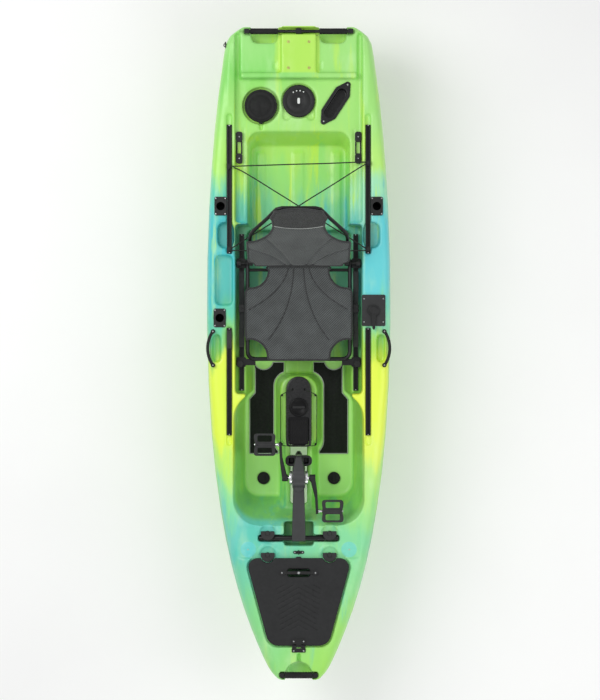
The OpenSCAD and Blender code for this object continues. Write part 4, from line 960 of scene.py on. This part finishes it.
def make_seat_straps():
    parts = []
    for s in SIDES:
        x = s * 0.2825
        route = [(x, 0.021, 0.2655), (x, 0.10, 0.2660), (x - s * 0.002, 0.18, 0.2665),
                 (x, 0.27, 0.2662), (x + s * 0.001, 0.34, 0.2658), (x, 0.396, 0.2655)]
        parts.append(strap("s", route, 27, 2.4))
        buckle = prism("b", [(x + dx * MM, (213 + dy) * MM) for dx, dy in
                             [(-15, -20), (15, -20), (16, -6), (13, 0), (16, 6), (15, 21), (-15, 21),
                              (-16, 6), (-13, 0), (-16, -6)]], 0.2675, 0.2755, "gloss")
        skin(buckle, 1.4 * MM, 3)
        parts.append(buckle)
        # free tail of the strap, folded back over itself
        tail = [(x, 0.190, 0.2690), (x - s * 0.001, 0.165, 0.2700),
                (x - s * 0.002, 0.135, 0.2690), (x - s * 0.003, 0.118, 0.2680)]
        parts.append(strap("t", tail, 24, 1.8))
    piece = joined("seat_webbing", parts)
    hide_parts("seat_straps")
    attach(piece, "seat")


# ---------------------------------------------------------------- pads, lids and console


def make_foot_pads():
    """Brushed foam with a pale bevelled edge round each pad."""
    bm = welded("foot_pads")
    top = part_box("foot_pads")[1].z
    bmesh.ops.dissolve_limit(bm, angle_limit=0.02, verts=bm.verts, edges=bm.edges)
    pads = finished("deck_pads", as_mesh(bm, "deck_pads"), "foam_edge")
    bevel = pads.modifiers.new("edge", "BEVEL")
    bevel.width = 4.4 * MM
    bevel.segments = 2
    bevel.limit_method = "ANGLE"
    bevel.angle_limit = math.radians(50)
    bevel.use_clamp_overlap = False
    applied(pads)
    pads.data.materials.append(FINISH["foam"])
    for face in pads.data.polygons:
        if face.normal.z > 0.9 and face.center.z > top - 0.0004:
            face.material_index = 1
    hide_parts("foot_pads")
    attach(pads, "hull")


PITCH = math.radians(7)
HATCH = (-1012, 355)


def on_lid(co):
    """Row frame to the lid's plane, in mm: across, along from its aft edge, above its top."""
    y, z = co[:, 1] / MM - HATCH[0], co[:, 2] / MM - HATCH[1]
    return co[:, 0] / MM, y * math.cos(PITCH) - z * math.sin(PITCH), y * math.sin(PITCH) + z * math.cos(PITCH)


def grip_pattern(x, along):
    """How far a point lies inside the grip field's sloping sides, and from the middle of a chevron."""
    return 94 - np.abs(x) + (along + 330) * 0.10, np.abs(((along + np.abs(x) * 0.55) % 26) - 13)


def lid_shape(co, normals):
    """Grip pattern pressed into the lid: rows of chevrons in a field whose sides slope."""
    x, along, above = on_lid(co)
    top = step(above, -4, -1.5)
    inside, from_chevron = grip_pattern(x, along)
    field = step(inside, 0, 5)
    field *= step(along, -352, -346) * step(-128 - along, 0, 6)
    chevron = 1 - step(from_chevron, 2.2, 4.2)
    sink = 1.8 * chevron * field
    moved = co.copy()
    moved[:, 2] -= sink * top * MM
    return moved


def make_hatch_lid():
    lid = moulded("front_hatch_lid", "front_hatch_cover", 3.2 * MM, 4, "lid", 1.0, lid_shape)
    lid.data.materials.append(FINISH["groove_shade"])
    co = points_of(lid.data)
    x, along, above = on_lid(co)
    inside, from_chevron = grip_pattern(x, along)
    # painted shade: faces down in the pressed chevron grooves take the darker plastic
    dark = (inside > 0) & (along > -350) & (along < -130) & (above > -4.5) & (from_chevron < 3.4)
    for face in lid.data.polygons:
        if all(dark[v] for v in face.vertices):
            face.material_index = 1


ROUND_LID_R = 80.5


def make_round_lids():
    rim_low, rim_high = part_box("round_hatch_lid")
    place = ((rim_low.x + rim_high.x) / 2, rim_high.y - ROUND_LID_R * MM, 0)
    rings = [(70, 286), (80, 286.5), (ROUND_LID_R, 290), (ROUND_LID_R, 297), (79, 300), (76, 301),
             (72.5, 301), (71.5, 299.6), (70.5, 299.6), (69, 301.6), (66, 302.6), (54, 302.8),
             (53, 301.8), (51, 301.8), (50, 302.8), (20, 302.9), (1, 302.9)]
    lid = lathe("round_hatch_cover", rings, place, "rubber", steps=96)
    outline = [(-13, -76), (13, -76), (11, -84), (7, -89), (-7, -89), (-11, -84)]
    tab = prism("tab", [(x * MM + place[0], y * MM + place[1]) for x, y in outline], 0.290, 0.2975, "rubber")
    skin(tab, 1.6 * MM, 3)
    lid = joined("round_hatch_cover", [lid, tab])
    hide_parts("round_hatch_lid")
    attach(lid, "round_hatch_lid")

    mid = centre_of("disc_hatch_lid")
    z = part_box("disc_hatch_lid")[0].z / MM
    place = (mid.x, mid.y, 0)
    rings = [(78, 0), (80, 1.5), (80, 11.5), (78.6, 14), (76, 15.6), (73, 16), (60, 16), (59, 15.2),
             (57.5, 15.2), (56.5, 16), (24, 16), (23, 15), (14, 14.6), (1, 14.6)]
    disc = lathe("disc", [(r, z + h) for r, h in rings], place, "satin", steps=120,
                 wobble=lambda a, r: r - (0.9 * (math.cos(30 * a) > 0.4) * (r > 77)))
    bar = prism("bar", [(place[0] + x * MM, place[1] + y * MM) for x, y in
                        arc(0, 8, 7, 20, 160, 6) + arc(0, -8, 7, 200, 340, 6)],
                (z + 14) * MM, (z + 17.8) * MM, "white")
    skin(bar, 1.2 * MM, 3)
    dots = []
    for a in (62, 82, 102, 122):
        turn = math.radians(a)
        spot = (place[0] + 0.050 * math.cos(turn), place[1] + 0.050 * math.sin(turn), 0)
        rings = [(3.4, z + 15.5), (3.4, z + 16.2), (2.6, z + 16.6), (0.5, z + 16.7)]
        dots.append(lathe("dot", rings, spot, "white", steps=14))
    disc = joined("disc_hatch_cover", [disc, bar] + dots)
    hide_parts("disc_hatch_lid")
    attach(disc, "disc_hatch_lid")


def console_lid_shape(co, normals):
    """Lengthwise grip ribs on the console's lid."""
    low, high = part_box("console_lid")
    x, y = (co / MM).T[:2]
    inside = step(40 - np.abs(x), 0, 4) * step(y - low.y / MM - 10, 0, 6) * step(high.y / MM - 10 - y, 0, 6)
    ribs = 0.5 - 0.5 * np.cos(x * 2 * math.pi / 10)
    moved = co.copy()
    moved[:, 2] -= step(normals[:, 2], 0.5, 0.9) * inside * ribs * 1.1 * MM
    return moved


def make_console():
    moulded("console_base", "console_body", 2.4 * MM, 4, "gloss", 0.6)
    # painted shade: the lid and the cap take a darker black than the console's rim
    moulded("console_lid", "console_door", 1.7 * MM, 3, "shaded_black", 0.8, console_lid_shape)
    low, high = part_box("console_cap")
    mid = centre_of("console_cap")
    base, top = low.z / MM, high.z / MM
    rings = [(38, base), (39, base + 1), (39, base + 8.2), (46, base + 8.6), (47, base + 10),
             (47, top - 2), (45.4, top), (38, top), (36, top - 0.8), (35, top - 2.6),
             (12, top - 3.0), (1, top - 3.0)]
    cap = lathe("console_cap_cover", rings, (mid.x, mid.y, 0), "shaded_black", steps=110,
                wobble=lambda a, r: r - 1.1 * (r > 44) * max(0, math.cos(11 * a)) ** 3)
    bar = prism("bar", [(mid.x + x * MM, mid.y + y * MM) for x, y in
                        arc(26, 0, 6, -90, 90, 6) + arc(-26, 0, 6, 90, 270, 6)],
                (top - 3.4) * MM, top * MM, "satin")
    skin(bar, 1.3 * MM, 3)
    cap = joined("console_cap_cover", [cap, bar])
    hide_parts("console_cap")
    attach(cap, "console_cap")


# ---------------------------------------------------------------- cords

TANK_CORD = [(-326, 908, 349), (-250, 911, 348), (-125, 915, 347), (0, 919, 347), (125, 922, 347),
             (250, 927, 348), (326, 929, 349), (336, 926, 350), (326, 918, 351), (280, 890, 350),
             (200, 839, 349), (120, 789, 348), (60, 752, 348), (0, 714, 348), (-60, 676, 347),
             (-120, 638, 347), (-200, 588, 347), (-280, 538, 348), (-326, 508, 349), (-336, 501, 350),
             (-326, 496, 349), (-280, 495, 342), (-200, 495, 340), (-100, 495, 339), (0, 495, 339),
             (100, 495, 339), (200, 495, 340), (280, 495, 342), (326, 496, 349), (336, 501, 348),
             (326, 508, 346), (280, 538, 344), (200, 588, 342), (120, 638, 340), (60, 676, 339),
             (0, 714, 338), (-60, 752, 338), (-120, 789, 339), (-200, 839, 341), (-280, 886, 344),
             (-320, 903, 346)]
CONSOLE_CORD = [(-30, -189, 240), (-30, -189, 252), (-33, -190, 262), (-44, -195, 262), (-62, -203, 244),
                (-76, -210, 226), (-86, -216, 218), (-90, -224, 214), (-90, -260, 212), (-90, -320, 211),
                (-90, -380, 211), (-90, -440, 211), (-89, -458, 213), (-84, -467, 219), (-70, -469, 240),
                (-56, -468, 260), (-40, -467, 264), (0, -467, 264)]
TANK_CORD_R = 3.0
CONSOLE_CORD_R = 2.0


def make_cords():
    route = [tuple(v * MM for v in p) for p in TANK_CORD]
    tank = tube("cargo_cord", smooth_route(route, 4), TANK_CORD_R * MM, "cord")
    half = CONSOLE_CORD + [(-x, y, z) for x, y, z in reversed(CONSOLE_CORD[:-1])]
    route = [tuple(v * MM for v in p) for p in half]
    console = tube("console_cord", smooth_route(route, 4), CONSOLE_CORD_R * MM, "cord")
    both = joined("bungee_pair", [tank, console])
    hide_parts("bungee_cords")
    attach(both, "hull")


# ---------------------------------------------------------------- drive


def pedal_shape(side):
    """Waisted outline of a pedal and small grip teeth along its front and back rails."""
    mid = centre_of("pedal_" + side)

    def shape(co, normals):
        x, y, z = ((co - np.array(mid)) / MM).T
        waist = 1 - 0.10 * np.exp(-(y / 20) ** 2) * (np.abs(x) > 38)
        teeth = 0.5 - 0.5 * np.cos(x * 2 * math.pi / 9)
        rail = step(np.abs(y), 45, 49) * step(np.abs(normals[:, 2]), 0.5, 0.9)
        moved = np.stack([x * waist, y, z - np.sign(z) * teeth * rail * 1.2], axis=1)
        return moved * MM + np.array(mid)
    return shape


def make_drive():
    moulded("drive_arm", "drive_swing_arm", 2.2 * MM, 6, "cast", 0.6)
    moulded("drive_head", "drive_head_casting", 2.0 * MM, 5, "cast", 0.6)
    moulded("drive_cowl", "drive_front_cowl", 1.9 * MM, 4, "gloss", 0.6)
    moulded("drive_leg", "drive_leg_casting", 3.0 * MM, 3, "satin", 0.7)
    moulded("crank_arms", "crank_pair", 1.7 * MM, 5, "satin", 0.7)
    for side in ("left", "right"):
        moulded("pedal_" + side, "pedal_body_" + side, 1.6 * MM, 3, "grey", 0.7, pedal_shape(side))
    moulded("propeller", "propeller_blades", 1.8 * MM, 2, "gloss", 0.7)
    moulded("rudder", "rudder_blade", 2.2 * MM, 5, "satin", 0.6)


def make_latches():
    for node in ("drive_latch_left", "drive_latch_right", "hatch_latch_left", "hatch_latch_right"):
        moulded(node, node + "_knob", 1.3 * MM, 3, "grey", 0.8)


# ---------------------------------------------------------------- finishes for the CAD nodes that stay

KEPT = {
    "gear_tracks": ("anodised", 0.7), "seat_rails": ("anodised", 0.7), "rod_holders": ("black", 1.2),
    "steering_plate": ("grey", 1.2), "paddle_clips": ("black", 1.5), "round_hatch_rim": ("black", 0.8),
    "threaded_inserts": ("brass", 0.4), "handle_bars": ("gloss", 1.0), "handle_grips": ("rubber", 0.5),
    "steering_cable": ("cable", 0.2), "cord_anchors": ("black", 0.6), "latch_posts": ("grey", 0.5),
    "bearing_blocks": ("black", 0.8), "hatch_seal": ("seal", 0.8), "hatch_pull": ("black", 0.9),
    "hatch_hinge_leaf": ("black", 0.6), "hatch_hinge_base": ("black", 0.6), "cross_bar": ("anodised", 0.6),
    "shaft_bearings": ("bright", 0.3), "vertical_shaft": ("bright", 0.4), "crank_axle": ("bright", 0.4),
    "head_rings": ("bright", 0.9), "pedal_spindles": ("steel", 0.6), "seat_frame": ("anodised", 0.8),
    "seat_knobs": ("black", 0.8), "back_frame": ("anodised", 0.8), "scupper_plug_left": ("rubber", 1.4),
    "scupper_plug_right": ("rubber", 1.4), "drain_plug": ("black", 0.9), "track_cleat": ("grey", 0.8),
    "deck_screws": ("steel", 0.3), "lid_screws": ("steel", 0.3),
}


def make_rounded_fittings():
    moulded("side_handles", "side_carry_handles", 2.0 * MM, 4, "rubber", 0.7)
    moulded("steering_lever", "steering_handle", 1.8 * MM, 4, "satin", 0.7)
    moulded("accessory_tray", "accessory_dish", 2.0 * MM, 4, "gloss", 0.7)


FINISH = make_finishes()
make_camera()
make_studio()
make_floor()
make_cords()
make_hull()
make_seat_pan()
make_seat_back()
make_seat_straps()
make_foot_pads()
make_hatch_lid()
make_round_lids()
make_console()
make_drive()
make_latches()
make_rounded_fittings()
for kept_node, (kept_finish, edge_width) in KEPT.items():
    soften(kept_node, kept_finish, edge_width)
